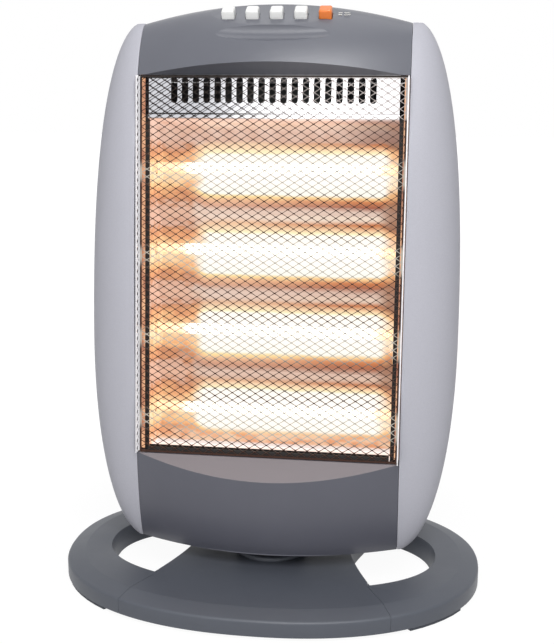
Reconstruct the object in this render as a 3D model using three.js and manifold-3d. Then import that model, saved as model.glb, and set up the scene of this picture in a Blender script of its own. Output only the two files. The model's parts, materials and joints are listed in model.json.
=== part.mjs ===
// A free-standing halogen heater: four lamps in a leaned heater body that swings on an oval ring base.
// Millimetres, +Z up, front towards -Y, origin on the floor at the middle of the base.
import * as THREE from "three";
import { mergeVertices } from "three/addons/utils/BufferGeometryUtils.js";
import Module from "manifold-3d";

const wasm = await Module();
wasm.setup();

// ---------------------------------------------------------------- driving dimensions
// Fits between pieces
const FIT = 0.3;
const SHELL_GAP = 0.4;
const RUNNING_FIT = 0.3;

// Oval ring base
const BASE_LENGTH = 400;
const BASE_DEPTH = 290;
const OVAL_POWER = 2.2;
const PAD_THICKNESS = 3;
const SKIRT_TOP = 16;
const BASE_TOP = 22;
const RIM_WIDTH = 14.5;
const BASE_WALL = 3;
const RING_END_WIDTH = 41;
const RING_FRONT_WIDTH = 57;
const HOLE_DRAFT = 4;
const BRIDGE_WAIST = 148;
const BRIDGE_FLARE = 60;
const BRIDGE_FLARE_POWER = 1.35;
const SEAM_FROM_SHARE = 0.84;
const SEAM_LEAN = 0.5;
const SEAM_GAP = 0.3;
const PAD_WIDTH = 9;
const PAD_INSET = 1;
const PAD_FROM_TURN = 24.8;
const PAD_TO_TURN = 48;

// Swivel
const PLINTH_RADIUS = 36;
const PLINTH_TOP = 26;
const PLINTH_CHAMFER = 2;
const TUBE_RADIUS = 11;
const TUBE_BORE = 7.5;
const TUBE_FLANGE_RADIUS = 20;
const TUBE_FLANGE = 2.5;
const RING_INNER_RADIUS = 23;
const RING_OUTER_RADIUS = 33;
const PLATE_BOTTOM = 38;
const PLATE_THICKNESS = 2;
const PLATE_MARGIN = 1.6;
const BUSH_WALL = 3;
const BUSH_FLANGE_RADIUS = 19;
const BUSH_FLANGE = 2;
const BUSH_BELOW = 3;
const WASHER_RADIUS = 20;
const WASHER_THICKNESS = 1.5;
const NUT_RADIUS = 16;
const NUT_HEIGHT = 5.6;
const NUT_SIDES = 6;

// Swing drive: a crank on the heater pulls a link that is pinned to the base
const SWING_POST_RADIUS = 16;
const POST_PIN_RADIUS = 2.5;
const ARM_THICKNESS = 2.5;
const ARM_CLAMP_RADIUS = 18;
const EYE_RIM = 2.7;
const MOTOR_X = 55.97;
const MOTOR_Y = -1.95;
const MOTOR_RADIUS = 24;
const MOTOR_HEIGHT = 20;
const CRANK_THROW = 12;
const CRANK_REST_ANGLE = 78.1;
const CRANK_DISC_MARGIN = 2;
const CRANK_DISC = 3;
const CRANK_PIN_RADIUS = 2.3;
const LINK_THICKNESS = 2;
const LINK_WIDTH = 7;
const OPEN_PIVOT_CLEARANCE = 1.7;
const SHAFT_RADIUS = 3;
const DRIVE_GAP = 0.8;
const FOOT_LENGTH = 12;
const BRACKET_THICKNESS = 1.7;

// Tip-over switch under the base
const TIP_SWITCH_FROM_REAR = 47;
const TIP_SWITCH_SIZE = 20;
const TIP_SWITCH_HEIGHT = 12;
const PLUNGER_RADIUS = 4;
const PLUNGER_LENGTH = 12;

// Leaned heater body. Heights below are measured in the leaned frame, from the swivel plate.
const LEAN = 5.5;
const BODY_SEAT = 40;
const SPINE_Y = -15;
const BODY_FOOT = -6;
const COVER_HALF_WIDTH = 122.4;
const PANEL_BULGE = 49.8;
const PANEL_WIDEST = 200;
const PANEL_TOP_RISE = 2.7;
const FRONT_DEPTH = 44.5;
const REAR_DEPTH = 51;
const REAR_CROWN = 6;
const DEEPEST = 256.5;
const FRONT_FOOT_DEPTH = 9;
const REAR_FOOT_DEPTH = 37.9;
const SHELL_WALL = 2.5;
const PANEL_FOOT_RISE = 1.5;
const PANEL_EDGE = 3.5;
const PANEL_EDGE_WALL = 1.2;

// Window, top cover and lower cover
const WINDOW_BOTTOM = 82.8;
const WINDOW_HEIGHT = 348.2;
const CORNER_RISE = 49.3;
const CROWN_RISE = 16.7;
const TOP_COVER_BELLY = 27.7;
const LOWER_COVER_BELLY = 24;
const LOWER_COVER_FLARE = 8;
const WINDOW_EDGE_Y = -50;
const VISOR_SLOPE = 0.5;
const SILL_SLOPE = 0.76;

// Button panel: a flat facet on the crown with a finger scoop in front of it
const FACET_EDGE_Y = -51.8;
const FACET_EDGE_Z = 474;
const FACET_SLOPE = 35;
const SCOOP_RADIUS = 11.5;
const SCOOP_HALF_WIDTH = 84;
const SCOOP_LOWER_Y = -61;
const SCOOP_LOWER_Z = 459;
const BUTTON_COUNT = 5;
const BUTTON_PITCH = 21.8;
const BUTTON_CENTRE_X = 2.5;
const BUTTON_WIDTH = 11.5;
const BUTTON_LENGTH = 11;
const BUTTON_PROUD = 7.8;
const BUTTON_SETBACK = 16.3;
const BUTTON_TRAVEL = 3;
const BUTTON_SKIRT = 3;
const BUTTON_BEVEL = 1.6;
const STEM_WIDTH = 4;
const STEM_LENGTH = 6;
const SWITCH_WIDTH = 14;
const SWITCH_LENGTH = 16;
const SWITCH_HEIGHT = 11.5;
const BRACKET_MARGIN = 4;
const BRACKET_SHEET = 1.2;

// Reflector, lamps and guard
const STRIP_HEIGHT = 34;
const STRIP_MARGIN = 44;
const REFLECTOR_SHEET = 1.2;
const STRIP_Y = -42;
const REFLECTOR_BACK_Y = 14;
const RIDGE_Y = -8;
const LAMP_COUNT = 4;
const LAMP_Y = -12;
const CAVITY_HALF_WIDTH = 113.5;
const SLOT_COUNT = 19;
const SLOT_PITCH = 10;
const SLOT_WIDTH = 6;
const SLOT_HEIGHT = 23;
const LIP_HEIGHT = 4.5;
const LIP_REACH = 3;
const SLOT_RISE = 9.5;
const STRIP_TUCK = 5;
const SHEET_EDGE_RISE = 0.4;
const FOOT_SETBACK = 3;
const TUBE_OUTER = 5.25;
const TUBE_WALL = 1.5;
const FILAMENT_RADIUS = 1.1;
const FILAMENT_HALF_LENGTH = 96;
const SUPPORT_COUNT = 4;
const SUPPORT_THICKNESS = 1.2;
const CAP_RADIUS = 8;
const CAP_LENGTH = 22;
const CAP_SOCKET = 14;
const LAMP_HOLE = 6;
const LAMP_PLATE_SHEET = 1.2;
const FLANGE_WIDTH = 6.5;
const FLANGE_Y = -38;
const LAMP_PLATE_BACK_Y = 20;
const LAMP_PLATE_RISE = 8;
const REAR_FLANGE_WIDTH = 9;
const GUARD_Y = -47;
const GUARD_SHEET = 1.2;
const GUARD_RIM = 3;
const GUARD_WING_REACH = 9.5;
const GUARD_COLUMNS = 6;
const GUARD_ROWS = 14;
const GUARD_STRAND = 1.6;

// Rear cover
const VENT_COUNT = 11;
const VENT_PITCH = 16;
const VENT_WIDTH = 6;
const VENT_HEIGHT = 34;
const UPPER_VENT_Z = 352;
const LOWER_VENT_Z = 96;
const HANDLE_WIDTH = 108;
const HANDLE_HEIGHT = 26;
const HANDLE_Z = 411;
const HANDLE_FLOOR_Y = 2;
const HANDLE_WALL = 2;
const HANDLE_PROUD = 1;
const BOSS_RADIUS = 3;
const BOSS_LOW_Z = 130;
const BOSS_HIGH_Z = 330;
const GLAND_X = 78;
const GLAND_Z = 24;
const GLAND_RADIUS = 6;
const GLAND_BORE = 3.6;
const GLAND_FLANGE = 3;
const GLAND_FLANGE_THICKNESS = 2;
const GLAND_INSIDE = 10;
const GLAND_OUTSIDE = 6;

// Thermal cut-out on the right lamp plate
const CUTOUT_RADIUS = 8;
const CUTOUT_THICKNESS = 6;
const CUTOUT_Y = 4;
const CUTOUT_TAB = 28;
const CUTOUT_TAB_WIDTH = 10;
const CUTOUT_TAB_SHEET = 1;

// Facet counts
const OVAL_SIDES = 64;
const PIVOT_SIDES = 24;
const ROUND_SIDES = 20;
const LAMP_SIDES = 14;
const SMALL_SIDES = 12;
const WIRE_SIDES = 6;

// ---------------------------------------------------------------- worked-out places
const windowTop = WINDOW_BOTTOM + WINDOW_HEIGHT;
const coverCorner = windowTop + CORNER_RISE;
const panelInner = COVER_HALF_WIDTH + SHELL_GAP;
const panelTop = coverCorner + PANEL_TOP_RISE;
const lampPitch = (WINDOW_HEIGHT - STRIP_MARGIN) / LAMP_COUNT;
const lampHeights = [];
for (let i = 0; i < LAMP_COUNT; i += 1) lampHeights.push(WINDOW_BOTTOM + (i + 0.5) * lampPitch);
const cavityTop = windowTop - STRIP_MARGIN;
const stripBottom = windowTop - STRIP_HEIGHT;
const plateTop = PLATE_BOTTOM + PLATE_THICKNESS;
const bushRadius = TUBE_RADIUS + RUNNING_FIT + BUSH_WALL;
const washerBottom = plateTop + FIT + BUSH_FLANGE + FIT;
const nutBottom = washerBottom + WASHER_THICKNESS + FIT;
const armBottom = nutBottom + NUT_HEIGHT + FIT;
const tubeTop = armBottom + ARM_THICKNESS;
const linkBottom = tubeTop + DRIVE_GAP;
const crankBottom = linkBottom + LINK_THICKNESS + DRIVE_GAP;
const bracketBottom = crankBottom + CRANK_DISC + FIT;
const motorBottom = bracketBottom + BRACKET_THICKNESS + FIT;

// ---------------------------------------------------------------- materials
const plain = (color, roughness, metalness = 0) =>
  new THREE.MeshStandardMaterial({ color, roughness, metalness });
const silverPlastic = plain(0xc3c2ca, 0.38);
const slatePlastic = plain(0x5f616b, 0.5);
const basePlastic = plain(0x52565f, 0.5);
const darkPlastic = plain(0x3a3c42, 0.6);
const whitePlastic = plain(0xf4f4f2, 0.3);
const orangePlastic = plain(0xf08232, 0.3);
const blackPlastic = plain(0x1c1c1e, 0.55);
const padRubber = plain(0x3c3f45, 0.85);
const polishedAluminium = plain(0xe2e2e4, 0.18, 1);
const guardSteel = plain(0x8a8580, 0.3, 1);
const darkSteel = plain(0x3d3533, 0.55, 0.8);
const zincSteel = plain(0xa9abae, 0.42, 1);
const ceramic = plain(0xe9e2d4, 0.7);
const quartz = plain(0xf6f1e6, 0.08);
const tungsten = plain(0xffd9a0, 0.5, 1);

// ---------------------------------------------------------------- solid helpers
const WELD = 1e-4;
const FAR = 700;
const OVERSHOOT = 10;

// The same surface with its faces turned outwards if they point inwards.
function outward(geometry) {
  const index = geometry.index.array;
  const at = geometry.attributes.position;
  const [a, b, c] = [new THREE.Vector3(), new THREE.Vector3(), new THREE.Vector3()];
  let volume = 0;
  for (let i = 0; i < index.length; i += 3) {
    a.fromBufferAttribute(at, index[i]);
    b.fromBufferAttribute(at, index[i + 1]);
    c.fromBufferAttribute(at, index[i + 2]);
    volume += a.dot(b.cross(c));
  }
  if (volume < 0) index.reverse();
  return geometry;
}

function solid(geometry) {
  const bare = geometry.clone();
  bare.deleteAttribute("normal");
  bare.deleteAttribute("uv");
  const welded = outward(mergeVertices(bare, WELD));
  return new wasm.Manifold(
    new wasm.Mesh({
      numProp: 3,
      vertProperties: new Float32Array(welded.attributes.position.array),
      triVerts: new Uint32Array(welded.index.array),
    }),
  );
}

function surfaceOf(body) {
  const { vertProperties, triVerts } = body.getMesh();
  const geometry = new THREE.BufferGeometry();
  geometry.setAttribute("position", new THREE.BufferAttribute(vertProperties, 3));
  geometry.setIndex(new THREE.BufferAttribute(triVerts, 1));
  geometry.computeVertexNormals();
  return geometry;
}

const join = (first, ...others) => others.reduce((sum, other) => sum.add(other), first);
const cut = (first, ...others) => others.reduce((rest, other) => rest.subtract(other), first);

function block(x0, x1, y0, y1, z0, z1) {
  const box = new THREE.BoxGeometry(x1 - x0, y1 - y0, z1 - z0);
  return solid(box.translate((x0 + x1) / 2, (y0 + y1) / 2, (z0 + z1) / 2));
}

// Upright post, disc or hole.
function post(radius, z0, z1, x = 0, y = 0, sides = ROUND_SIDES) {
  const round = new THREE.CylinderGeometry(radius, radius, z1 - z0, sides);
  return solid(round.rotateX(Math.PI / 2).translate(x, y, (z0 + z1) / 2));
}

// Round bar along X or along Y.
function barX(radius, x0, x1, y, z, sides = ROUND_SIDES) {
  const round = new THREE.CylinderGeometry(radius, radius, x1 - x0, sides);
  return solid(round.rotateZ(Math.PI / 2).translate((x0 + x1) / 2, y, z));
}

function barY(radius, y0, y1, x, z, sides = ROUND_SIDES) {
  return solid(new THREE.CylinderGeometry(radius, radius, y1 - y0, sides).translate(x, (y0 + y1) / 2, z));
}

// A shape drawn in plan, raised from z0 to z1.
function raised(points, z0, z1) {
  const shape = new THREE.Shape(points.map(([x, y]) => new THREE.Vector2(x, y)));
  const geometry = new THREE.ExtrudeGeometry(shape, { depth: z1 - z0, bevelEnabled: false });
  return solid(geometry.translate(0, 0, z0));
}

// A shape drawn in the side view as [y, z] points, run along X.
function drawnAlongX(points, x0, x1) {
  const shape = new THREE.Shape(points.map(([y, z]) => new THREE.Vector2(y, z)));
  const geometry = new THREE.ExtrudeGeometry(shape, { depth: x1 - x0, bevelEnabled: false });
  const axes = new THREE.Matrix4().makeBasis(
    new THREE.Vector3(0, 1, 0),
    new THREE.Vector3(0, 0, 1),
    new THREE.Vector3(1, 0, 0),
  );
  return solid(geometry.applyMatrix4(axes).translate(x0, 0, 0));
}

// A turned piece about Z from [radius, height] points that start and end on the axis, or a closed ring.
function turned(points, sides = PIVOT_SIDES) {
  const profile = points.map(([radius, height]) => new THREE.Vector2(radius, height));
  return solid(new THREE.LatheGeometry(profile, sides).rotateX(Math.PI / 2));
}

const ring = (inner, outer, z0, z1, sides = PIVOT_SIDES) =>
  turned([[inner, z0], [outer, z0], [outer, z1], [inner, z1], [inner, z0]], sides);

// A solid between two point functions of (u, v), each from 0 to 1.
function between(outer, inner, columns, rows) {
  const grid = new THREE.BoxGeometry(1, 1, 1, columns, rows, 1);
  const at = grid.attributes.position;
  for (let i = 0; i < at.count; i += 1) {
    const point = at.getZ(i) > 0 ? outer : inner;
    at.setXYZ(i, ...point(at.getX(i) + 0.5, at.getY(i) + 0.5));
  }
  return solid(grid);
}

function addMesh(group, name, body, material) {
  const mesh = new THREE.Mesh(surfaceOf(body), material);
  mesh.name = name;
  group.add(mesh);
  return mesh;
}

const radians = THREE.MathUtils.degToRad;

// ---------------------------------------------------------------- frames
const heater = new THREE.Group();
const base = new THREE.Group();
const chassis = new THREE.Group();
const body = new THREE.Group();
body.position.z = BODY_SEAT;
body.rotation.x = -radians(LEAN);
chassis.add(body);
heater.add(base, chassis);

const facetRadians = radians(FACET_SLOPE);
const buttonPanel = new THREE.Group();
buttonPanel.position.set(
  BUTTON_CENTRE_X,
  FACET_EDGE_Y + BUTTON_SETBACK * Math.cos(facetRadians),
  FACET_EDGE_Z + BUTTON_SETBACK * Math.sin(facetRadians),
);
buttonPanel.rotation.x = facetRadians;
body.add(buttonPanel);
buttonPanel.updateMatrix();

// Moves a solid drawn on the level into the leaned body's frame, or one drawn on the facet into it.
const levelToBody = new THREE.Matrix4()
  .makeRotationX(radians(LEAN))
  .multiply(new THREE.Matrix4().makeTranslation(0, 0, -BODY_SEAT));
const moved = (shape, matrix) => solid(surfaceOf(shape).applyMatrix4(matrix));

// ---------------------------------------------------------------- base
const baseHalfLength = BASE_LENGTH / 2;
const baseHalfDepth = BASE_DEPTH / 2;
const holeHalfLength = baseHalfLength - RING_END_WIDTH;
const holeHalfDepth = baseHalfDepth - RING_FRONT_WIDTH;
const swell = (cosine) => Math.sign(cosine) * Math.abs(cosine) ** (2 / OVAL_POWER);

function oval(halfLength, halfDepth, sides = OVAL_SIDES) {
  const points = [];
  for (let i = 0; i < sides; i += 1) {
    const angle = (2 * Math.PI * i) / sides;
    points.push([halfLength * swell(Math.cos(angle)), halfDepth * swell(Math.sin(angle))]);
  }
  return points;
}

// The ring's filled outer form, drawn in by inset all round and below its top by drop.
function baseDome(inset, drop, bottom) {
  const lowered = SKIRT_TOP - drop;
  const edge = baseHalfLength - inset;
  const top = BASE_TOP - drop;
  const profile = [
    [0, bottom],
    [edge, bottom],
    [edge, lowered],
    [edge - 0.1 * RIM_WIDTH, lowered + 0.28 * (top - lowered)],
    [edge - 0.9 * RIM_WIDTH, lowered + 0.93 * (top - lowered)],
    [edge - 1.2 * RIM_WIDTH, top],
    [0, top],
  ];
  const points = profile.map(([radius, height]) => new THREE.Vector2(radius, height));
  const form = new THREE.LatheGeometry(points, OVAL_SIDES).rotateX(Math.PI / 2);
  const at = form.attributes.position;
  for (let i = 0; i < at.count; i += 1) {
    const radius = Math.hypot(at.getX(i), at.getY(i));
    if (radius < 1) continue;
    const depth = radius - baseHalfLength + baseHalfDepth;
    const [cosine, sine] = [at.getX(i) / radius, at.getY(i) / radius];
    at.setXY(i, radius * swell(cosine), depth * swell(sine));
  }
  return solid(form);
}

// Half the width of the bridge over the middle: a waist that flares to the front and rear.
function bridgeHalf(y) {
  const flare = (Math.abs(y) / holeHalfDepth) ** BRIDGE_FLARE_POWER;
  return (BRIDGE_WAIST + BRIDGE_FLARE * flare) / 2;
}

// The bridge in plan, drawn in by inset and long enough to cross the holes.
function bridge(inset) {
  const right = [];
  const steps = 12;
  for (let i = 0; i <= steps; i += 1) {
    const y = baseHalfDepth * ((2 * i) / steps - 1);
    right.push([bridgeHalf(y) - inset, y]);
  }
  const left = right.map(([x, y]) => [-x, y]).reverse();
  return [...right, ...left];
}

// An outline raised over the height of the base, which draft draws in from the top to the foot.
function drafted(points, draft) {
  const [low, high] = [PAD_THICKNESS - OVERSHOOT, BASE_TOP + OVERSHOOT];
  const shape = new THREE.Shape(points.map(([x, y]) => new THREE.Vector2(x, y)));
  const geometry = new THREE.ExtrudeGeometry(shape, { depth: high - low, bevelEnabled: false });
  geometry.translate(0, 0, low);
  const at = geometry.attributes.position;
  for (let i = 0; i < at.count; i += 1) {
    const depth = (BASE_TOP - at.getZ(i)) / (BASE_TOP - PAD_THICKNESS);
    at.setXY(i, ...draft(at.getX(i), at.getY(i), HOLE_DRAFT * depth));
  }
  return solid(geometry);
}

// The two holes beside the bridge, widened by wall.
function baseHoles(wall) {
  const [length, depth] = [holeHalfLength + wall, holeHalfDepth + wall];
  const narrowing = (x, y, inset) => [x * (1 - inset / length), y * (1 - inset / depth)];
  const widening = (x, y, inset) => [x + Math.sign(x) * inset, y];
  return cut(drafted(oval(length, depth), narrowing), drafted(bridge(wall), widening));
}

const skirtBottom = PAD_THICKNESS;
const baseOuter = cut(baseDome(0, 0, skirtBottom), baseHoles(0));
const baseHollow = cut(baseDome(BASE_WALL, BASE_WALL, skirtBottom - 10), baseHoles(BASE_WALL));
const baseShell = cut(baseOuter, baseHollow);

// The seam between bridge piece and side arc runs from the hole's corner out to the rim.
const seamY = holeHalfDepth * SEAM_FROM_SHARE;
const seamX = bridgeHalf(seamY);
function sideArcPlan(side, gap) {
  const flank = seamX + gap;
  const reach = baseHalfDepth + OVERSHOOT;
  const corner = flank + SEAM_LEAN * (reach - seamY);
  const outline = [
    [flank, -seamY],
    [corner, -reach],
    [FAR, -reach],
    [FAR, reach],
    [corner, reach],
    [flank, seamY],
  ];
  return raised(outline.map(([x, y]) => [side * x, y]), -FAR, FAR);
}

const plinth = turned([
  [0, BASE_TOP - BASE_WALL],
  [PLINTH_RADIUS, BASE_TOP - BASE_WALL],
  [PLINTH_RADIUS, PLINTH_TOP - PLINTH_CHAMFER],
  [PLINTH_RADIUS - PLINTH_CHAMFER, PLINTH_TOP],
  [0, PLINTH_TOP],
]);
const baseCentre = cut(
  join(cut(baseShell, sideArcPlan(1, -SEAM_GAP / 2), sideArcPlan(-1, -SEAM_GAP / 2)), plinth),
  post(TUBE_RADIUS + FIT, -FAR, FAR, 0, 0, PIVOT_SIDES),
);
addMesh(base, "base_centre", baseCentre, basePlastic);
for (const [word, side] of [["left", -1], ["right", 1]]) {
  addMesh(base, `base_arc_${word}`, baseShell.intersect(sideArcPlan(side, SEAM_GAP / 2)), basePlastic);
}

// Rubber pads follow the rim under the two ends of each side arc.
function pad(side, end) {
  const outline = [];
  const steps = 5;
  const rim = (inset, share) => {
    const turn = radians(PAD_FROM_TURN + (PAD_TO_TURN - PAD_FROM_TURN) * share);
    const x = (baseHalfLength - inset) * swell(Math.cos(turn));
    const y = (baseHalfDepth - inset) * swell(Math.sin(turn));
    return [side * x, end * y];
  };
  for (let i = 0; i <= steps; i += 1) outline.push(rim(PAD_INSET, i / steps));
  for (let i = steps; i >= 0; i -= 1) outline.push(rim(PAD_INSET + PAD_WIDTH, i / steps));
  return raised(outline, 0, PAD_THICKNESS - FIT);
}
for (const [sideWord, side] of [["left", -1], ["right", 1]]) {
  for (const [endWord, end] of [["front", -1], ["rear", 1]]) {
    addMesh(base, `foot_pad_${endWord}_${sideWord}`, pad(side, end), padRubber);
  }
}

// ---------------------------------------------------------------- swivel, fixed side
const flangeBottom = PLINTH_TOP + FIT;
addMesh(
  base,
  "pivot_tube",
  turned([
    [TUBE_BORE, BASE_TOP - BASE_WALL],
    [TUBE_RADIUS, BASE_TOP - BASE_WALL],
    [TUBE_RADIUS, flangeBottom],
    [TUBE_FLANGE_RADIUS, flangeBottom],
    [TUBE_FLANGE_RADIUS, flangeBottom + TUBE_FLANGE],
    [TUBE_RADIUS, flangeBottom + TUBE_FLANGE],
    [TUBE_RADIUS, tubeTop],
    [TUBE_BORE, tubeTop],
    [TUBE_BORE, BASE_TOP - BASE_WALL],
  ]),
  zincSteel,
);
addMesh(
  base,
  "swivel_ring",
  ring(RING_INNER_RADIUS, RING_OUTER_RADIUS, PLINTH_TOP + FIT, PLATE_BOTTOM - FIT),
  blackPlastic,
);
const aroundTube = post(TUBE_RADIUS + FIT, -FAR, FAR, 0, 0, PIVOT_SIDES);
addMesh(
  base,
  "pivot_washer",
  ring(TUBE_RADIUS + FIT, WASHER_RADIUS, washerBottom, washerBottom + WASHER_THICKNESS),
  zincSteel,
);
addMesh(
  base,
  "pivot_nut",
  cut(post(NUT_RADIUS, nutBottom, nutBottom + NUT_HEIGHT, 0, 0, NUT_SIDES), aroundTube),
  zincSteel,
);
const armTop = armBottom + ARM_THICKNESS;
const swingPost = join(
  post(ARM_CLAMP_RADIUS, armBottom, armTop),
  post(POST_PIN_RADIUS + EYE_RIM, armBottom, armTop, 0, SWING_POST_RADIUS, SMALL_SIDES),
  post(POST_PIN_RADIUS, armBottom, crankBottom, 0, SWING_POST_RADIUS, SMALL_SIDES),
);
addMesh(base, "swing_post_arm", cut(swingPost, aroundTube), zincSteel);

// ---------------------------------------------------------------- tip-over switch
const tipSwitchY = baseHalfDepth - TIP_SWITCH_FROM_REAR;
const switchTop = BASE_TOP - BASE_WALL - FIT;
const halfSwitch = TIP_SWITCH_SIZE / 2;
const plungerBore = post(PLUNGER_RADIUS + RUNNING_FIT, 0, PLUNGER_LENGTH + 2, 0, tipSwitchY, SMALL_SIDES);
addMesh(
  base,
  "tip_over_switch",
  cut(
    block(
      -halfSwitch,
      halfSwitch,
      tipSwitchY - halfSwitch,
      tipSwitchY + halfSwitch,
      switchTop - TIP_SWITCH_HEIGHT,
      switchTop,
    ),
    plungerBore,
  ),
  blackPlastic,
);
addMesh(
  base,
  "tip_over_plunger",
  post(PLUNGER_RADIUS, 0, PLUNGER_LENGTH, 0, tipSwitchY, SMALL_SIDES),
  whitePlastic,
);

// ---------------------------------------------------------------- body form in the leaned frame
const shoulder = (share, power, root) => Math.max(0, 1 - Math.min(1, share) ** power) ** (1 / root);

// How far a side panel bulges outwards at height z.
function panelBulge(z) {
  const upper = (z - PANEL_WIDEST) / (panelTop - PANEL_WIDEST);
  const lower = (PANEL_WIDEST - z) / (PANEL_WIDEST - BODY_FOOT);
  return PANEL_BULGE * (z > PANEL_WIDEST ? shoulder(upper, 2.4, 2.2) : shoulder(lower, 2.2, 2));
}

// Share of the full depth that is left at height z, falling to footDepth at the foot.
function depthShare(z, fullDepth, footDepth, power) {
  if (z > DEEPEST) return shoulder((z - DEEPEST) / (coverCorner - DEEPEST), 3, 2);
  const lost = 1 - (footDepth / fullDepth) ** 2;
  const fallen = (DEEPEST - z) / (DEEPEST - BODY_FOOT);
  return Math.sqrt(Math.max(0, 1 - lost * fallen ** power));
}
const frontShare = (z) => depthShare(z, FRONT_DEPTH, FRONT_FOOT_DEPTH, 2);
const rearShare = (z) => depthShare(z, REAR_DEPTH, REAR_FOOT_DEPTH, 6);

const across = (x) => Math.max(0, 1 - (x / COVER_HALF_WIDTH) ** 2);
const crownAt = (x) => coverCorner + CROWN_RISE * across(x);
const frontEdgeY = (z) => SPINE_Y - FRONT_DEPTH * frontShare(z);
const rearCoverY = (x, z) => SPINE_Y + (REAR_DEPTH + REAR_CROWN * across(x)) * rearShare(z);

// ---------------------------------------------------------------- side panels
function sidePanel(side) {
  const low = BODY_FOOT + PANEL_FOOT_RISE;
  const high = coverCorner;
  const place = (wall) => (u, v) => {
    const angle = Math.PI * u;
    const eased = v - Math.sin(2 * Math.PI * v) / (2 * Math.PI) * 0.8;
    const z = low + (high - low) * eased;
    const reach = Math.max(PANEL_EDGE, panelBulge(z));
    const front = Math.max(PANEL_EDGE, FRONT_DEPTH * frontShare(z));
    const rear = Math.max(PANEL_EDGE, REAR_DEPTH * rearShare(z));
    const depth = angle < Math.PI / 2 ? front : rear;
    const inward = (size) => (wall > 0 ? Math.max(size - wall, PANEL_EDGE_WALL) : size);
    return [
      side * (panelInner + inward(reach) * Math.sin(angle)),
      SPINE_Y - inward(depth) * Math.cos(angle),
      Math.min(high - wall, Math.max(low + wall, z)),
    ];
  };
  return between(place(0), place(SHELL_WALL), 10, 16);
}
addMesh(body, "left_side_panel", sidePanel(-1), silverPlastic);
addMesh(body, "right_side_panel", sidePanel(1), silverPlastic);

// ---------------------------------------------------------------- top cover
// The cover's filled form, drawn in by wall and open downwards from bottom.
function topLoaf(wall, bottom) {
  const halfWidth = COVER_HALF_WIDTH - wall;
  const profile = (x, v) => {
    const turn = 2 * v - 1;
    const top = crownAt(x) - wall;
    const lowest = (windowTop - 2 - DEEPEST) / (top - DEEPEST);
    const share = 1 - (1 - lowest) * turn ** 2;
    const belly = turn < 0 ? FRONT_DEPTH + TOP_COVER_BELLY * across(x) : REAR_DEPTH + REAR_CROWN * across(x);
    const depth = Math.max(0, belly * shoulder(share, 3, 2) - wall);
    return [SPINE_Y + Math.sign(turn) * depth, DEEPEST + (top - DEEPEST) * share];
  };
  const outer = (u, v) => {
    const x = halfWidth * (2 * u - 1);
    return [x, ...profile(x, v)];
  };
  const inner = (u, v) => {
    const x = halfWidth * (2 * u - 1);
    const [y] = profile(x, v);
    return [x, y, bottom];
  };
  return between(outer, inner, 14, 18);
}

// Everything below the underside of the visor.
function belowVisor(lift) {
  const edge = WINDOW_EDGE_Y + (lift > 0 ? SHELL_WALL : 0);
  const root = windowTop + lift * Math.hypot(1, VISOR_SLOPE);
  const outline = [
    [edge, 0],
    [edge, root],
    [edge - FAR, root + VISOR_SLOPE * FAR],
    [edge - FAR, 0],
  ];
  return drawnAlongX(outline, -FAR, FAR);
}

// Everything above the button facet, sunk by depth.
function aboveFacet(depth) {
  const slab = new THREE.BoxGeometry(2 * FAR, 2 * FAR, FAR).translate(0, 0, FAR / 2 - depth);
  const turnedSlab = slab.rotateX(facetRadians).translate(0, FACET_EDGE_Y, FACET_EDGE_Z);
  return solid(turnedSlab);
}

// The finger scoop in front of the buttons, wider by wall and round in the side view.
// It runs from the facet's front edge to its own lower edge, and dwindles to nothing at both ends.
function scoop(wall) {
  const [chordY, chordZ] = [FACET_EDGE_Y - SCOOP_LOWER_Y, FACET_EDGE_Z - SCOOP_LOWER_Z];
  const chord = Math.hypot(chordY, chordZ);
  const stand = Math.sqrt(SCOOP_RADIUS ** 2 - chord ** 2 / 4) / chord;
  const [centreY, centreZ] = [-chordY / 2 - stand * chordZ, -chordZ / 2 + stand * chordY];
  const form = new THREE.SphereGeometry(1, 32, 14).rotateZ(Math.PI / 2);
  const at = form.attributes.position;
  for (let i = 0; i < at.count; i += 1) {
    const share = Math.hypot(at.getY(i), at.getZ(i));
    at.setXYZ(
      i,
      BUTTON_CENTRE_X + (SCOOP_HALF_WIDTH + wall) * at.getX(i),
      FACET_EDGE_Y + centreY * share + (SCOOP_RADIUS + wall) * at.getY(i),
      FACET_EDGE_Z + centreZ * share + (SCOOP_RADIUS + wall) * at.getZ(i),
    );
  }
  return solid(form);
}

const coverForm = cut(topLoaf(0, windowTop), belowVisor(0), aboveFacet(0), scoop(0));
const coverHollow = cut(
  topLoaf(SHELL_WALL, windowTop - 10),
  belowVisor(SHELL_WALL),
  aboveFacet(SHELL_WALL),
  scoop(SHELL_WALL),
);
const buttonX = (i) => (i - (BUTTON_COUNT - 1) / 2) * BUTTON_PITCH;
const buttonHoles = [];
for (let i = 0; i < BUTTON_COUNT; i += 1) {
  const [halfWidth, halfLength] = [BUTTON_WIDTH / 2 + SHELL_GAP, BUTTON_LENGTH / 2 + SHELL_GAP];
  const hole = block(buttonX(i) - halfWidth, buttonX(i) + halfWidth, -halfLength, halfLength, -20, 20);
  buttonHoles.push(moved(hole, buttonPanel.matrix));
}
addMesh(body, "top_cover", cut(coverForm, coverHollow, ...buttonHoles), slatePlastic);

// ---------------------------------------------------------------- lower cover
const lowerBelly = (z) =>
  LOWER_COVER_BELLY + LOWER_COVER_FLARE * Math.max(0, (WINDOW_BOTTOM - z) / (WINDOW_BOTTOM - BODY_FOOT));
const lowerCoverY = (x, z) => frontEdgeY(z) - lowerBelly(z) * across(x);
const coverBack = SPINE_Y - SHELL_GAP / 2;

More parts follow.
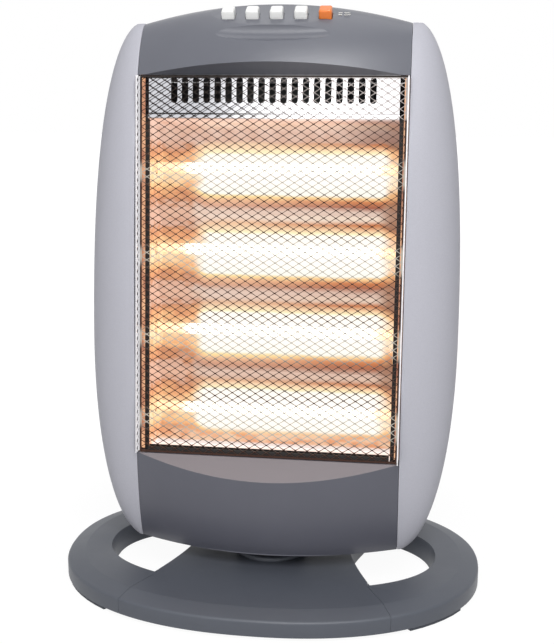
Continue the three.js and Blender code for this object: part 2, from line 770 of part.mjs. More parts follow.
function lowerForm(wall, top, back) {
  const halfWidth = COVER_HALF_WIDTH - wall;
  const low = BODY_FOOT - OVERSHOOT / 2;
  const front = (u, v) => {
    const x = halfWidth * (2 * u - 1);
    const z = low + (top - low) * v;
    return [x, Math.min(lowerCoverY(x, Math.max(z, BODY_FOOT)) + wall, back - wall / 2 - FIT), z];
  };
  const rear = (u, v) => [halfWidth * (2 * u - 1), back, low + (top - low) * v];
  return between(front, rear, 14, 8);
}

// Everything above the sloping sill in front of the window's lower edge, sunk by depth.
function aboveSill(depth) {
  const rise = -depth * Math.hypot(1, SILL_SLOPE);
  const edge = WINDOW_EDGE_Y + (depth > 0 ? SHELL_WALL : 0);
  const outline = [
    [edge, WINDOW_BOTTOM + rise],
    [edge, FAR],
    [edge - FAR, FAR],
    [edge - FAR, WINDOW_BOTTOM + rise - SILL_SLOPE * FAR],
  ];
  return drawnAlongX(outline, -FAR, FAR);
}

const belowPlate = moved(block(-FAR, FAR, -FAR, FAR, -FAR, PLATE_BOTTOM), levelToBody);
const lowerOuter = cut(lowerForm(0, WINDOW_BOTTOM, coverBack), aboveSill(0), belowPlate);
const lowerHollow = cut(
  lowerForm(SHELL_WALL, WINDOW_BOTTOM - SHELL_WALL, coverBack + OVERSHOOT),
  aboveSill(SHELL_WALL),
);
addMesh(body, "lower_cover", cut(lowerOuter, lowerHollow), slatePlastic);

// ---------------------------------------------------------------- rear cover and handle cup
// Above the window's foot the cover starts behind the lamp plates; its skirt below meets the lower cover.
function rearForm(wall, front, low, high, columns = 8, rows = 12) {
  const halfWidth = COVER_HALF_WIDTH - Math.max(0, wall);
  const back = (u, v) => {
    const x = halfWidth * (2 * u - 1);
    const z = low + (high - low) * v;
    return [x, rearCoverY(x, z) - wall, z];
  };
  const face = (u, v) => [halfWidth * (2 * u - 1), front, low + (high - low) * v];
  return between(back, face, columns, rows);
}

const rearTop = windowTop - SHELL_GAP;
const rearFront = LAMP_PLATE_BACK_Y + LAMP_PLATE_SHEET + FIT;
const skirtFront = coverBack + SHELL_GAP;
const skirtHeight = WINDOW_BOTTOM - SHELL_GAP;
const rearLow = BODY_FOOT - OVERSHOOT;
const rearShell = cut(
  rearForm(0, skirtFront, rearLow, rearTop),
  rearForm(SHELL_WALL, skirtFront - OVERSHOOT, rearLow - OVERSHOOT, rearTop - SHELL_WALL),
  block(-FAR, FAR, -FAR, rearFront, skirtHeight, FAR),
  belowPlate,
);
const vents = [];
for (const z of [LOWER_VENT_Z, UPPER_VENT_Z]) {
  for (let i = 0; i < VENT_COUNT; i += 1) {
    const x = (i - (VENT_COUNT - 1) / 2) * VENT_PITCH;
    const [halfWidth, halfHeight] = [VENT_WIDTH / 2, VENT_HEIGHT / 2];
    vents.push(block(x - halfWidth, x + halfWidth, 0, FAR, z - halfHeight, z + halfHeight));
  }
}
function handleBox(margin, y0) {
  const halfWidth = HANDLE_WIDTH / 2 + margin;
  const halfHeight = HANDLE_HEIGHT / 2 + margin;
  return block(-halfWidth, halfWidth, y0, FAR, HANDLE_Z - halfHeight, HANDLE_Z + halfHeight);
}
const bosses = [];
const bossX = CAVITY_HALF_WIDTH + FIT + REAR_FLANGE_WIDTH / 2;
for (const x of [-bossX, bossX]) {
  for (const z of [BOSS_LOW_Z, BOSS_HIGH_Z]) {
    const seat = LAMP_PLATE_BACK_Y + LAMP_PLATE_SHEET + FIT;
    bosses.push(barY(BOSS_RADIUS, seat, rearCoverY(x, z) - SHELL_WALL / 2, x, z, SMALL_SIDES));
  }
}
const glandHole = barY(GLAND_RADIUS + FIT, 0, FAR, GLAND_X, GLAND_Z, SMALL_SIDES);
addMesh(
  body,
  "rear_cover",
  join(cut(rearShell, ...vents, handleBox(FIT, 0), glandHole), ...bosses),
  darkPlastic,
);

const cupReach = HANDLE_HEIGHT / 2 + HANDLE_WALL;
const cupForm = handleBox(0, HANDLE_FLOOR_Y).intersect(
  rearForm(-HANDLE_PROUD, HANDLE_FLOOR_Y, HANDLE_Z - cupReach, HANDLE_Z + cupReach, 8, 4),
);
addMesh(
  body,
  "handle_cup",
  cut(cupForm, handleBox(-HANDLE_WALL, HANDLE_FLOOR_Y + HANDLE_WALL)),
  blackPlastic,
);

// The gland's flange rests on the highest point of the cover under it.
const glandFlangeRadius = GLAND_RADIUS + GLAND_FLANGE;
const glandSeat = rearCoverY(GLAND_X, GLAND_Z + glandFlangeRadius) + FIT;
const glandBar = (radius, from, to) =>
  barY(radius, glandSeat + from, glandSeat + to, GLAND_X, GLAND_Z, SMALL_SIDES);
addMesh(
  body,
  "cord_gland",
  cut(
    join(
      glandBar(GLAND_RADIUS, -GLAND_INSIDE, GLAND_OUTSIDE),
      glandBar(glandFlangeRadius, 0, GLAND_FLANGE_THICKNESS),
    ),
    glandBar(GLAND_BORE, -FAR, FAR),
  ),
  blackPlastic,
);

// ---------------------------------------------------------------- reflector
// Side view of the sheet, from the top of the slotted strip down to the lower lip.
const reflectorFace = [
  [STRIP_Y, windowTop + STRIP_TUCK],
  [STRIP_Y, stripBottom],
  [STRIP_Y - LIP_REACH, stripBottom],
  [STRIP_Y - LIP_REACH, stripBottom - LIP_HEIGHT],
  [STRIP_Y, stripBottom - LIP_HEIGHT],
];
for (let lamp = LAMP_COUNT - 1; lamp >= 0; lamp -= 1) {
  for (const share of [0.48, 0.4, 0.27, 0.1, -0.1, -0.27, -0.4, -0.48]) {
    const depth = REFLECTOR_BACK_Y - (REFLECTOR_BACK_Y - RIDGE_Y) * (Math.abs(share) / 0.48) ** 3;
    reflectorFace.push([depth, lampHeights[lamp] + share * lampPitch]);
  }
}
const sheetFoot = WINDOW_BOTTOM + SHEET_EDGE_RISE;
reflectorFace.push([STRIP_Y + FOOT_SETBACK, sheetFoot + REFLECTOR_SHEET]);
const reflectorBack = reflectorFace
  .slice(5)
  .map(([y, z]) => [y + REFLECTOR_SHEET, z])
  .reverse();
const reflectorOutline = [
  ...reflectorFace,
  [STRIP_Y + FOOT_SETBACK, sheetFoot],
  [RIDGE_Y + REFLECTOR_SHEET, sheetFoot],
  ...reflectorBack.slice(1),
  [STRIP_Y + REFLECTOR_SHEET, stripBottom - LIP_HEIGHT + 1.5 * REFLECTOR_SHEET],
  [STRIP_Y + REFLECTOR_SHEET, windowTop + STRIP_TUCK],
];
const slots = [];
for (let i = 0; i < SLOT_COUNT; i += 1) {
  const x = (i - (SLOT_COUNT - 1) / 2) * SLOT_PITCH;
  const low = stripBottom + SLOT_RISE;
  const half = SLOT_WIDTH / 2;
  const [y0, y1] = [STRIP_Y - REFLECTOR_SHEET, STRIP_Y + 2 * REFLECTOR_SHEET];
  slots.push(block(x - half, x + half, y0, y1, low + half, low + SLOT_HEIGHT - half));
  slots.push(barY(half, y0, y1, x, low + half, 8));
  slots.push(barY(half, y0, y1, x, low + SLOT_HEIGHT - half, 8));
}
addMesh(
  body,
  "reflector",
  cut(drawnAlongX(reflectorOutline, -CAVITY_HALF_WIDTH, CAVITY_HALF_WIDTH), ...slots),
  polishedAluminium,
);

// ---------------------------------------------------------------- lamp plates, lamps and caps
const webInner = CAVITY_HALF_WIDTH + FIT;
const webOuter = webInner + LAMP_PLATE_SHEET;
const lampPlateLow = WINDOW_BOTTOM + FIT;
const lampPlateHigh = cavityTop + LAMP_PLATE_RISE;
const lampPlateBack = LAMP_PLATE_BACK_Y + LAMP_PLATE_SHEET;

// A stretch along X on the left (side -1) or the right (side 1) from its distances to the middle.
const onSide = (side, near, far) => (side > 0 ? [near, far] : [-far, -near]);

function lampPlate(side) {
  const upright = (far, y0, y1) => block(...onSide(side, webInner, far), y0, y1, lampPlateLow, lampPlateHigh);
  const web = upright(webOuter, FLANGE_Y, lampPlateBack);
  const front = upright(webInner + FLANGE_WIDTH, FLANGE_Y, FLANGE_Y + LAMP_PLATE_SHEET);
  const rear = upright(webInner + REAR_FLANGE_WIDTH, LAMP_PLATE_BACK_Y, lampPlateBack);
  const hole = onSide(side, webInner - OVERSHOOT, webOuter + OVERSHOOT);
  const holes = lampHeights.map((z) => barX(LAMP_HOLE, ...hole, LAMP_Y, z, SMALL_SIDES));
  return cut(join(web, front, rear), ...holes);
}
addMesh(body, "left_lamp_plate", lampPlate(-1), darkSteel);
addMesh(body, "right_lamp_plate", lampPlate(1), darkSteel);

const capInner = webOuter + FIT;
const tubeHalfLength = capInner + CAP_SOCKET - FIT;
const bore = TUBE_OUTER - TUBE_WALL;

// The wire with the discs that keep it in the middle of its tube, turned about Z.
function filament() {
  const disc = bore - FIT;
  const profile = [
    [0, -FILAMENT_HALF_LENGTH],
    [FILAMENT_RADIUS, -FILAMENT_HALF_LENGTH],
  ];
  for (let i = 0; i < SUPPORT_COUNT; i += 1) {
    const middle = 2 * FILAMENT_HALF_LENGTH * ((i + 0.5) / SUPPORT_COUNT - 0.5);
    const [low, high] = [middle - SUPPORT_THICKNESS / 2, middle + SUPPORT_THICKNESS / 2];
    profile.push([FILAMENT_RADIUS, low], [disc, low], [disc, high], [FILAMENT_RADIUS, high]);
  }
  profile.push([FILAMENT_RADIUS, FILAMENT_HALF_LENGTH], [0, FILAMENT_HALF_LENGTH]);
  return turned(profile, WIRE_SIDES);
}

const lampBar = (radius, x0, x1) => barX(radius, x0, x1, 0, 0, LAMP_SIDES);
const endCap = (side) =>
  cut(
    lampBar(CAP_RADIUS, ...onSide(side, capInner, capInner + CAP_LENGTH)),
    lampBar(TUBE_OUTER + FIT, ...onSide(side, 0, capInner + CAP_SOCKET)),
  );

lampHeights.forEach((z, i) => {
  const number = LAMP_COUNT - i;
  const tube = cut(lampBar(TUBE_OUTER, -tubeHalfLength, tubeHalfLength), lampBar(bore, -FAR, FAR));
  const pieces = [
    addMesh(body, `quartz_tube_${number}`, tube, quartz),
    addMesh(body, `end_cap_left_${number}`, endCap(-1), ceramic),
    addMesh(body, `end_cap_right_${number}`, endCap(1), ceramic),
  ];
  for (const piece of pieces) piece.position.set(0, LAMP_Y, z);
  const wire = addMesh(body, `filament_${number}`, filament(), tungsten);
  wire.rotation.y = Math.PI / 2;
  wire.position.set(0, LAMP_Y, z);
});

const cutoutSeat = webOuter + FIT;
const cutoutZ = lampPlateHigh - CUTOUT_TAB / 2;
addMesh(
  body,
  "thermal_cutout",
  join(
    barX(CUTOUT_RADIUS, cutoutSeat, cutoutSeat + CUTOUT_THICKNESS, CUTOUT_Y, cutoutZ),
    block(
      cutoutSeat,
      cutoutSeat + CUTOUT_TAB_SHEET,
      CUTOUT_Y - CUTOUT_TAB_WIDTH / 2,
      CUTOUT_Y + CUTOUT_TAB_WIDTH / 2,
      cutoutZ - CUTOUT_TAB / 2,
      cutoutZ + CUTOUT_TAB / 2,
    ),
  ),
  blackPlastic,
);

// ---------------------------------------------------------------- guard net
const guardHalfWidth = webInner + FLANGE_WIDTH;
const guardLow = WINDOW_BOTTOM + FIT;
const guardHigh = windowTop - 0.6;

// A convex outline without what lies past the limit: above it for sign 1, below it for sign -1.
function trimmed(points, axis, sign, limit) {
  const kept = [];
  points.forEach((point, i) => {
    const next = points[(i + 1) % points.length];
    const here = sign * (limit - point[axis]);
    const there = sign * (limit - next[axis]);
    if (here > -WELD) kept.push(point);
    if (Math.min(here, there) > -WELD || Math.max(here, there) < WELD) return;
    const share = here / (here - there);
    kept.push(point.map((value, k) => value + share * (next[k] - value)));
  });
  return kept;
}

// One sheet with rows of diamond holes, and a wing on each side.
// The wing reaches back to the lamp plates and forward to the side panel's edge.
function guardNet() {
  const right = guardHalfWidth - GUARD_RIM;
  const [low, high] = [guardLow + GUARD_RIM, guardHigh - GUARD_RIM];
  const [stepX, stepZ] = [right / GUARD_COLUMNS, (high - low) / (2 * GUARD_ROWS)];
  const slant = Math.hypot(stepX, stepZ) * (GUARD_STRAND / 2);
  const [reachX, reachZ] = [stepX - slant / stepZ, stepZ - slant / stepX];
  const holes = [];
  for (let column = 0; column <= 2 * GUARD_COLUMNS; column += 1) {
    for (let row = column % 2; row <= 2 * GUARD_ROWS; row += 2) {
      const [x, z] = [column * stepX - right, low + row * stepZ];
      let hole = [[x - reachX, z], [x, z - reachZ], [x + reachX, z], [x, z + reachZ]];
      hole = trimmed(trimmed(hole, 0, 1, right), 0, -1, -right);
      hole = trimmed(trimmed(hole, 1, 1, high), 1, -1, low);
      holes.push(raised(hole, -GUARD_SHEET, GUARD_SHEET));
    }
  }
  const [front, back] = [GUARD_Y - GUARD_SHEET / 2, GUARD_Y + GUARD_SHEET / 2];
  const uprightHoles = surfaceOf(join(...holes)).rotateX(Math.PI / 2).translate(0, GUARD_Y, 0);
  const sheet = block(-guardHalfWidth, guardHalfWidth, front, back, guardLow, guardHigh);
  const wing = (side) => {
    const width = onSide(side, guardHalfWidth - GUARD_SHEET, guardHalfWidth);
    return join(
      block(...width, front, FLANGE_Y - FIT, guardLow, lampPlateHigh),
      block(...width, front - GUARD_WING_REACH, back, guardLow, guardHigh),
    );
  };
  return join(cut(sheet, solid(uprightHoles)), wing(-1), wing(1));
}
addMesh(body, "guard_net", guardNet(), guardSteel);

// ---------------------------------------------------------------- buttons and switches
// A square bar about the panel's normal, from its half-width, half-length and heights.
const standing = (halfWidth, halfLength, z0, z1) =>
  block(-halfWidth, halfWidth, -halfLength, halfLength, z0, z1);
const switchTopFace = -BUTTON_SKIRT - BUTTON_TRAVEL - SHELL_GAP;
const switchBottom = switchTopFace - SWITCH_HEIGHT;
const wellBottom = -BUTTON_SKIRT - STEM_LENGTH - BUTTON_TRAVEL - SHELL_GAP;
for (let i = 0; i < BUTTON_COUNT; i += 1) {
  const capFace = (inset, z) => (u, v) =>
    [(u - 0.5) * (BUTTON_WIDTH - 2 * inset), (v - 0.5) * (BUTTON_LENGTH - 2 * inset), z];
  const shoulderZ = BUTTON_PROUD - BUTTON_BEVEL;
  const cap = between(capFace(BUTTON_BEVEL / 2, BUTTON_PROUD), capFace(0, shoulderZ), 1, 1);
  const stalk = standing(BUTTON_WIDTH / 2, BUTTON_LENGTH / 2, -BUTTON_SKIRT, shoulderZ);
  const stem = standing(STEM_WIDTH / 2, STEM_WIDTH / 2, -BUTTON_SKIRT - STEM_LENGTH, 0);
  const button = addMesh(
    buttonPanel,
    `button_${i + 1}`,
    join(cap, stalk, stem),
    i === BUTTON_COUNT - 1 ? orangePlastic : whitePlastic,
  );
  button.position.x = buttonX(i);
  const well = STEM_WIDTH / 2 + SHELL_GAP;
  const housing = cut(
    standing(SWITCH_WIDTH / 2, SWITCH_LENGTH / 2, switchBottom, switchTopFace),
    standing(well, well, wellBottom, 0),
  );
  addMesh(buttonPanel, `switch_${i + 1}`, housing, blackPlastic).position.x = buttonX(i);
}
const bracketHalf = buttonX(BUTTON_COUNT - 1) + SWITCH_WIDTH / 2 + BRACKET_MARGIN;
const bracketTop = switchBottom - FIT;
const switchChannel = cut(
  standing(bracketHalf, SWITCH_LENGTH / 2, bracketTop - BRACKET_SHEET, 0),
  standing(bracketHalf - BRACKET_SHEET, SWITCH_LENGTH, bracketTop, FAR),
);
// The channel's ears stop just short of the cover's inner face.
const insideCover = cut(topLoaf(SHELL_WALL + FIT, windowTop), aboveFacet(SHELL_WALL + FIT));
const fromPanel = buttonPanel.matrix.clone().invert();
addMesh(
  buttonPanel,
  "switch_bracket",
  switchChannel.intersect(moved(insideCover, fromPanel)),
  zincSteel,
);

// ---------------------------------------------------------------- swivel plate and swing drive
// The plate fills the body's foot: its edge keeps clear of the covers' inner walls.
function platePoint(x, toFront) {
  const level = PLATE_BOTTOM - BODY_SEAT;
  const inset = SHELL_WALL + PLATE_MARGIN;
  const lean = radians(LEAN);
  let y = 0;
  for (let pass = 0; pass < 3; pass += 1) {
    const z = level + y * Math.tan(lean);
    y = toFront ? lowerCoverY(x, z) + inset : rearCoverY(x, z) - inset;
  }
  return [x, y * Math.cos(lean) + level * Math.sin(lean)];
}
const plateOutline = [];
const plateHalf = COVER_HALF_WIDTH - SHELL_WALL - PLATE_MARGIN;
const plateSteps = 10;
const plateX = (i) => plateHalf * ((2 * i) / plateSteps - 1);
for (let i = 0; i <= plateSteps; i += 1) plateOutline.push(platePoint(plateX(i), true));
for (let i = plateSteps; i >= 0; i -= 1) plateOutline.push(platePoint(plateX(i), false));
const bushHole = post(bushRadius + FIT, -FAR, FAR, 0, 0, PIVOT_SIDES);
addMesh(chassis, "swivel_plate", cut(raised(plateOutline, PLATE_BOTTOM, plateTop), bushHole), zincSteel);
addMesh(
  chassis,
  "pivot_bush",
  turned([
    [TUBE_RADIUS + RUNNING_FIT, PLATE_BOTTOM - BUSH_BELOW],
    [bushRadius, PLATE_BOTTOM - BUSH_BELOW],
    [bushRadius, plateTop + FIT],
    [BUSH_FLANGE_RADIUS, plateTop + FIT],
    [BUSH_FLANGE_RADIUS, plateTop + FIT + BUSH_FLANGE],
    [TUBE_RADIUS + RUNNING_FIT, plateTop + FIT + BUSH_FLANGE],
    [TUBE_RADIUS + RUNNING_FIT, PLATE_BOTTOM - BUSH_BELOW],
  ]),
  whitePlastic,
);

const crankX = MOTOR_X + CRANK_THROW * Math.cos(radians(CRANK_REST_ANGLE));
const crankY = MOTOR_Y + CRANK_THROW * Math.sin(radians(CRANK_REST_ANGLE));
const discRadius = CRANK_THROW + CRANK_PIN_RADIUS + CRANK_DISC_MARGIN;
addMesh(
  chassis,
  "crank_disc",
  cut(
    join(
      post(discRadius, crankBottom, crankBottom + CRANK_DISC, MOTOR_X, MOTOR_Y),
      post(CRANK_PIN_RADIUS, linkBottom - DRIVE_GAP, crankBottom + 1, crankX, crankY, SMALL_SIDES),
    ),
    post(SHAFT_RADIUS + FIT, 0, FAR, MOTOR_X, MOTOR_Y, SMALL_SIDES),
  ),
  whitePlastic,
);

// The link runs from the crank pin to the post on the base; its post eye is wide, as an open pivot.
const linkTop = linkBottom + LINK_THICKNESS;
const linkLength = Math.hypot(crankX, crankY - SWING_POST_RADIUS);
const linkTurn = Math.atan2(crankY - SWING_POST_RADIUS, crankX);
const postEye = POST_PIN_RADIUS + OPEN_PIVOT_CLEARANCE;
const crankEye = CRANK_PIN_RADIUS + RUNNING_FIT;
const linkBar = cut(
  join(
    block(0, linkLength, -LINK_WIDTH / 2, LINK_WIDTH / 2, linkBottom, linkTop),
    post(postEye + EYE_RIM, linkBottom, linkTop, 0, 0),
    post(crankEye + EYE_RIM, linkBottom, linkTop, linkLength, 0, SMALL_SIDES),
  ),
  post(postEye, 0, FAR, 0, 0),
  post(crankEye, 0, FAR, linkLength, 0, SMALL_SIDES),
);
const link = addMesh(chassis, "swing_link", linkBar, zincSteel);
link.position.y = SWING_POST_RADIUS;
link.rotation.z = linkTurn;

const motorTop = motorBottom + MOTOR_HEIGHT;
addMesh(
  chassis,
  "swing_motor",
  join(
    post(MOTOR_RADIUS, motorBottom, motorTop, MOTOR_X, MOTOR_Y),
    post(SHAFT_RADIUS, crankBottom + DRIVE_GAP, motorBottom + 1, MOTOR_X, MOTOR_Y, SMALL_SIDES),
  ),
  zincSteel,
);
const legOuter = MOTOR_X + MOTOR_RADIUS + BRACKET_MARGIN;
const legInner = legOuter - BRACKET_THICKNESS;
const bracketReach = MOTOR_RADIUS - BRACKET_MARGIN;
const bracketBar = (x0, x1, z0, z1) =>
  block(x0, x1, MOTOR_Y - bracketReach, MOTOR_Y + bracketReach, z0, z1);
const bracketFoot = plateTop + FIT;
const bracketRoof = bracketBottom + BRACKET_THICKNESS;
addMesh(
  chassis,
  "motor_bracket",
  cut(
    join(
      bracketBar(MOTOR_X - MOTOR_RADIUS, legOuter, bracketBottom, bracketRoof),
      bracketBar(legInner, legOuter, bracketFoot, bracketRoof),
      bracketBar(legInner, legOuter + FOOT_LENGTH, bracketFoot, bracketFoot + BRACKET_THICKNESS),
    ),
    post(2 * SHAFT_RADIUS, 0, FAR, MOTOR_X, MOTOR_Y, SMALL_SIDES),
  ),
  zincSteel,
);

export default heater;
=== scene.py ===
import json
import math

import bmesh
import bpy
from mathutils import Matrix, Vector


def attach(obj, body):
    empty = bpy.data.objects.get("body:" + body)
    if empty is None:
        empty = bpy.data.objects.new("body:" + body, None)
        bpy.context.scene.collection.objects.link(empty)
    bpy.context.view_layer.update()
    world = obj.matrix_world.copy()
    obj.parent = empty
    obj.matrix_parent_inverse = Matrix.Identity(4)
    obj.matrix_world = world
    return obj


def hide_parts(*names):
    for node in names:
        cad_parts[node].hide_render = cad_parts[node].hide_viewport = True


# --- sizes shared with the part
LEAN = math.radians(5.5)
BODY_SEAT = 40.0
SPINE_Y = -15.0
BODY_FOOT = -6.0
COVER_HALF_WIDTH = 122.4
PANEL_INNER = 122.8
PANEL_BULGE = 49.8
PANEL_WIDEST = 200.0
PANEL_TOP = 483.0
COVER_CORNER = 480.3
CROWN_RISE = 16.7
FRONT_DEPTH = 44.5
REAR_DEPTH = 51.0
REAR_CROWN = 6.0
DEEPEST = 256.5
FRONT_FOOT_DEPTH = 9.0
REAR_FOOT_DEPTH = 37.9
SHELL_WALL = 2.5
WINDOW_BOTTOM = 82.8
WINDOW_TOP = 431.0
TOP_COVER_BELLY = 27.7
LOWER_COVER_BELLY = 24.0
LOWER_COVER_FLARE = 8.0
WINDOW_EDGE_Y = -50.0
VISOR_SLOPE = 0.5
SILL_SLOPE = 0.76
PLATE_BOTTOM = 38.0
FACET_EDGE = (-51.8, 474.0)
FACET_SLOPE = math.radians(35)
SCOOP_RADIUS = 11.5
SCOOP_HALF_WIDTH = 84.0
SCOOP_LOWER = (-61.0, 459.0)
BUTTON_X = [2.5 + (i - 2) * 21.8 for i in range(5)]
BUTTON_WIDTH, BUTTON_LENGTH = 11.5, 11.0
BUTTON_SETBACK = 16.3
CAVITY_HALF_WIDTH = 113.5
STRIP_Y = -42.0
STRIP_BOTTOM = 397.0
LIP_HEIGHT, LIP_REACH = 4.5, 3.0
LAMP_PITCH = 76.05
LAMP_HEIGHTS = [WINDOW_BOTTOM + (i + 0.5) * LAMP_PITCH for i in range(4)]
LAMP_Y = -12.0
LINING_BOTTOM, LINING_TOP = 84.0, 391.0
SLOT_PITCH, VENT_PITCH, VENT_HEIGHTS = 10, 16, (96.0, 352.0)
CAVITY_BACK_Y, RIDGE_Y = 14.0, -8.0
GUARD_Y = -47.0
HANDLE_Z, HANDLE_FLOOR_Y = 411.0, 2.0
GLAND_X, GLAND_Z = 78.0, 24.0
BOSS_X, BOSS_HEIGHTS = 118.3, (130.0, 330.0)
BASE_HALF_LENGTH, BASE_HALF_DEPTH = 200.0, 145.0
OVAL_POWER = 2.2
HOLE_HALF_LENGTH, HOLE_HALF_DEPTH, HOLE_DRAFT = 159.0, 88.0, 4.0
BRIDGE_WAIST, BRIDGE_FLARE, BRIDGE_FLARE_POWER = 148.0, 60.0, 1.35
SKIRT_BOTTOM, SKIRT_TOP, BASE_TOP = 3.0, 16.0, 22.0
RIM_WIDTH, BASE_WALL = 14.5, 3.0
SEAM_X, SEAM_Y, SEAM_LEAN, SEAM_GAP = 97.71, 73.92, 0.5, 0.3
PLINTH_RADIUS, PLINTH_TOP = 36.0, 26.0
COVER_GAP = 0.2
FAR = 700.0

LEVEL = Matrix.Scale(0.001, 4)
LEANED = Matrix.Translation((0, 0, BODY_SEAT / 1000)) @ Matrix.Rotation(-LEAN, 4, "X") @ LEVEL
FACET_MIDDLE = Vector((
    0,
    FACET_EDGE[0] + BUTTON_SETBACK * math.cos(FACET_SLOPE),
    FACET_EDGE[1] + BUTTON_SETBACK * math.sin(FACET_SLOPE),
))
FACET = LEANED @ Matrix.Translation(FACET_MIDDLE) @ Matrix.Rotation(FACET_SLOPE, 4, "X")

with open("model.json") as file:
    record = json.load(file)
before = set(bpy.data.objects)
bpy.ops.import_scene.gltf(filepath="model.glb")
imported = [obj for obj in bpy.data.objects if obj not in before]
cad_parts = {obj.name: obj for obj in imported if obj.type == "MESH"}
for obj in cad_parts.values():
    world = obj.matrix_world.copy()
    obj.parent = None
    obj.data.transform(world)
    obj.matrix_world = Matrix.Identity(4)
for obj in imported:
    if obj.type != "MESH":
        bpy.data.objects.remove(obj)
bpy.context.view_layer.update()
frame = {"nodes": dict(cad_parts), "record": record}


# --- nodes: one method, one value class
def hexadecimal(code):
    """Linear colour of a six-digit screen colour."""
    parts = [int(code[i:i + 2], 16) / 255 for i in (0, 2, 4)]
    return tuple(p / 12.92 if p <= 0.04045 else ((p + 0.055) / 1.055) ** 2.4 for p in parts)


def opaque(colour):
    """Red, green, blue and alpha of a screen colour or of three linear parts."""
    return (*(hexadecimal(colour) if isinstance(colour, str) else colour), 1)


def shade(code, share):
    return tuple(min(1.0, part * share) for part in hexadecimal(code))


def add_node(tree, kind, inputs=None, **settings):
    """One node: settings first, then values or sockets on its inputs."""
    made = tree.nodes.new(kind)
    for name, setting in settings.items():
        setattr(made, name, setting)
    for name, given in (inputs or {}).items():
        given = getattr(given, "socket", given)
        if isinstance(given, bpy.types.NodeSocket):
            tree.links.new(given, made.inputs[name])
        elif given is not None:
            made.inputs[name].default_value = given
    return made


class Value:
    """A number or colour that varies over a surface. Arithmetic on it adds Math nodes."""

    def __init__(self, nodes, socket):
        self.nodes, self.socket = nodes, socket

    def math(self, operation, *numbers):
        return self.nodes.node("ShaderNodeMath", dict(enumerate(numbers)), operation=operation)

    def __add__(self, other): return self.math("ADD", self, other)
    def __radd__(self, other): return self.math("ADD", other, self)
    def __sub__(self, other): return self.math("SUBTRACT", self, other)
    def __rsub__(self, other): return self.math("SUBTRACT", other, self)
    def __mul__(self, other): return self.math("MULTIPLY", self, other)
    def __rmul__(self, other): return self.math("MULTIPLY", other, self)
    def __truediv__(self, other): return self.math("DIVIDE", self, other)
    def __abs__(self): return self.math("ABSOLUTE", self)
    def root(self): return self.math("SQRT", self)
    def fraction(self): return self.math("FRACT", self)
    def greater(self, other): return self.math("MAXIMUM", self, other)

    def rise(self, low, high):
        """0 below low, 1 above high, smooth between; high below low falls instead."""
        if high < low:
            return 1 - self.rise(high, low)
        return self.nodes.node("ShaderNodeMapRange", {0: self, 1: low, 2: high}, interpolation_type="SMOOTHSTEP")


class Nodes:
    """The shader nodes of a material or a world, emptied first."""

    def __init__(self, owner):
        owner.use_nodes = True
        self.tree = owner.node_tree
        self.tree.nodes.clear()

    def node(self, kind, inputs=None, output=0, **settings):
        made = add_node(self.tree, kind, inputs, **settings)
        return Value(self, made.outputs[output]) if made.outputs else made


class Finish(Nodes):
    """One surface finish: a Principled shader and the nodes that feed it."""

    def __init__(self, name, leaned=False):
        self.material = bpy.data.materials.new(name)
        super().__init__(self.material)
        self.shader = add_node(self.tree, "ShaderNodeBsdfPrincipled")
        self.output = self.node("ShaderNodeOutputMaterial", {0: self.shader.outputs[0]})
        self.place = self.node("ShaderNodeTexCoord", output="Object")
        if leaned:
            seat = BODY_SEAT / 1000
            self.place = self.node("ShaderNodeMapping", {
                "Vector": self.place, "Rotation": (LEAN, 0, 0),
                "Location": (0, seat * math.sin(LEAN), -seat * math.cos(LEAN)),
            })

    def axes(self):
        """The place's three coordinates in millimetres."""
        return [self.node("ShaderNodeSeparateXYZ", {0: self.place}, i) * 1000.0 for i in range(3)]

    def noise(self, scale, detail=2.0, stretch=(1, 1, 1), roughness=0.5):
        """Noise from 0 to 1; scale is in lumps per metre, stretch lengthens them along an axis."""
        place = self.place
        if stretch != (1, 1, 1):
            place = self.node("ShaderNodeMapping", {"Vector": place, "Scale": tuple(1 / s for s in stretch)})
        return self.node("ShaderNodeTexNoise", {
            "Vector": place, "Scale": scale, "Detail": detail, "Roughness": roughness,
        })

    def blend(self, share, first, second, kind="MIX"):
        """First colour where share is 0, second where it is 1."""
        first, second = [c if isinstance(c, Value) else opaque(c) for c in (first, second)]
        return self.node("ShaderNodeMix", {0: share, 6: first, 7: second}, 2, data_type="RGBA", blend_type=kind)

    def tones(self, share, code, dark, light):
        """From a darker to a lighter shade of one colour."""
        return self.blend(share, shade(code, dark), shade(code, light))

    def ramp(self, share, stops):
        made = self.node("ShaderNodeValToRGB", {0: share})
        elements = made.socket.node.color_ramp.elements
        while len(elements) < len(stops):
            elements.new(0.5)
        for element, (position, colour) in zip(elements, stops):
            element.position, element.color = position, opaque(colour)
        return made

    def bump(self, height, depth, strength=1.0):
        """Relief of that depth in millimetres."""
        relief = {"Height": height, "Distance": depth / 1000, "Strength": strength}
        self.wear(Normal=self.node("ShaderNodeBump", relief))

    def wear(self, **sockets):
        """Sets the shader's sockets; an underscore in a name stands for a space."""
        for name, given in sockets.items():
            socket = self.shader.inputs[name.replace("_", " ")]
            if isinstance(given, Value):
                self.tree.links.new(given.socket, socket)
            else:
                socket.default_value = opaque(given) if socket.type == "RGBA" else given


# --- finishes
def moulded_plastic(name, code, roughness, grain=0.03, coat=0.0):
    """Spark-eroded moulding: a fine grain, a faint mottling and rubbed patches that shine a little more."""
    finish = Finish(name)
    mottle = finish.noise(38, 3)
    rubbed = finish.noise(14, 4, roughness=0.6).rise(0.45, 0.7)
    tone = finish.tones(mottle, code, 0.95, 1.05)
    finish.wear(Base_Color=tone, Roughness=roughness - 0.06 * rubbed, Coat_Weight=coat, Coat_Roughness=0.25)
    finish.bump(finish.noise(2600, 1), grain)
    return finish.material


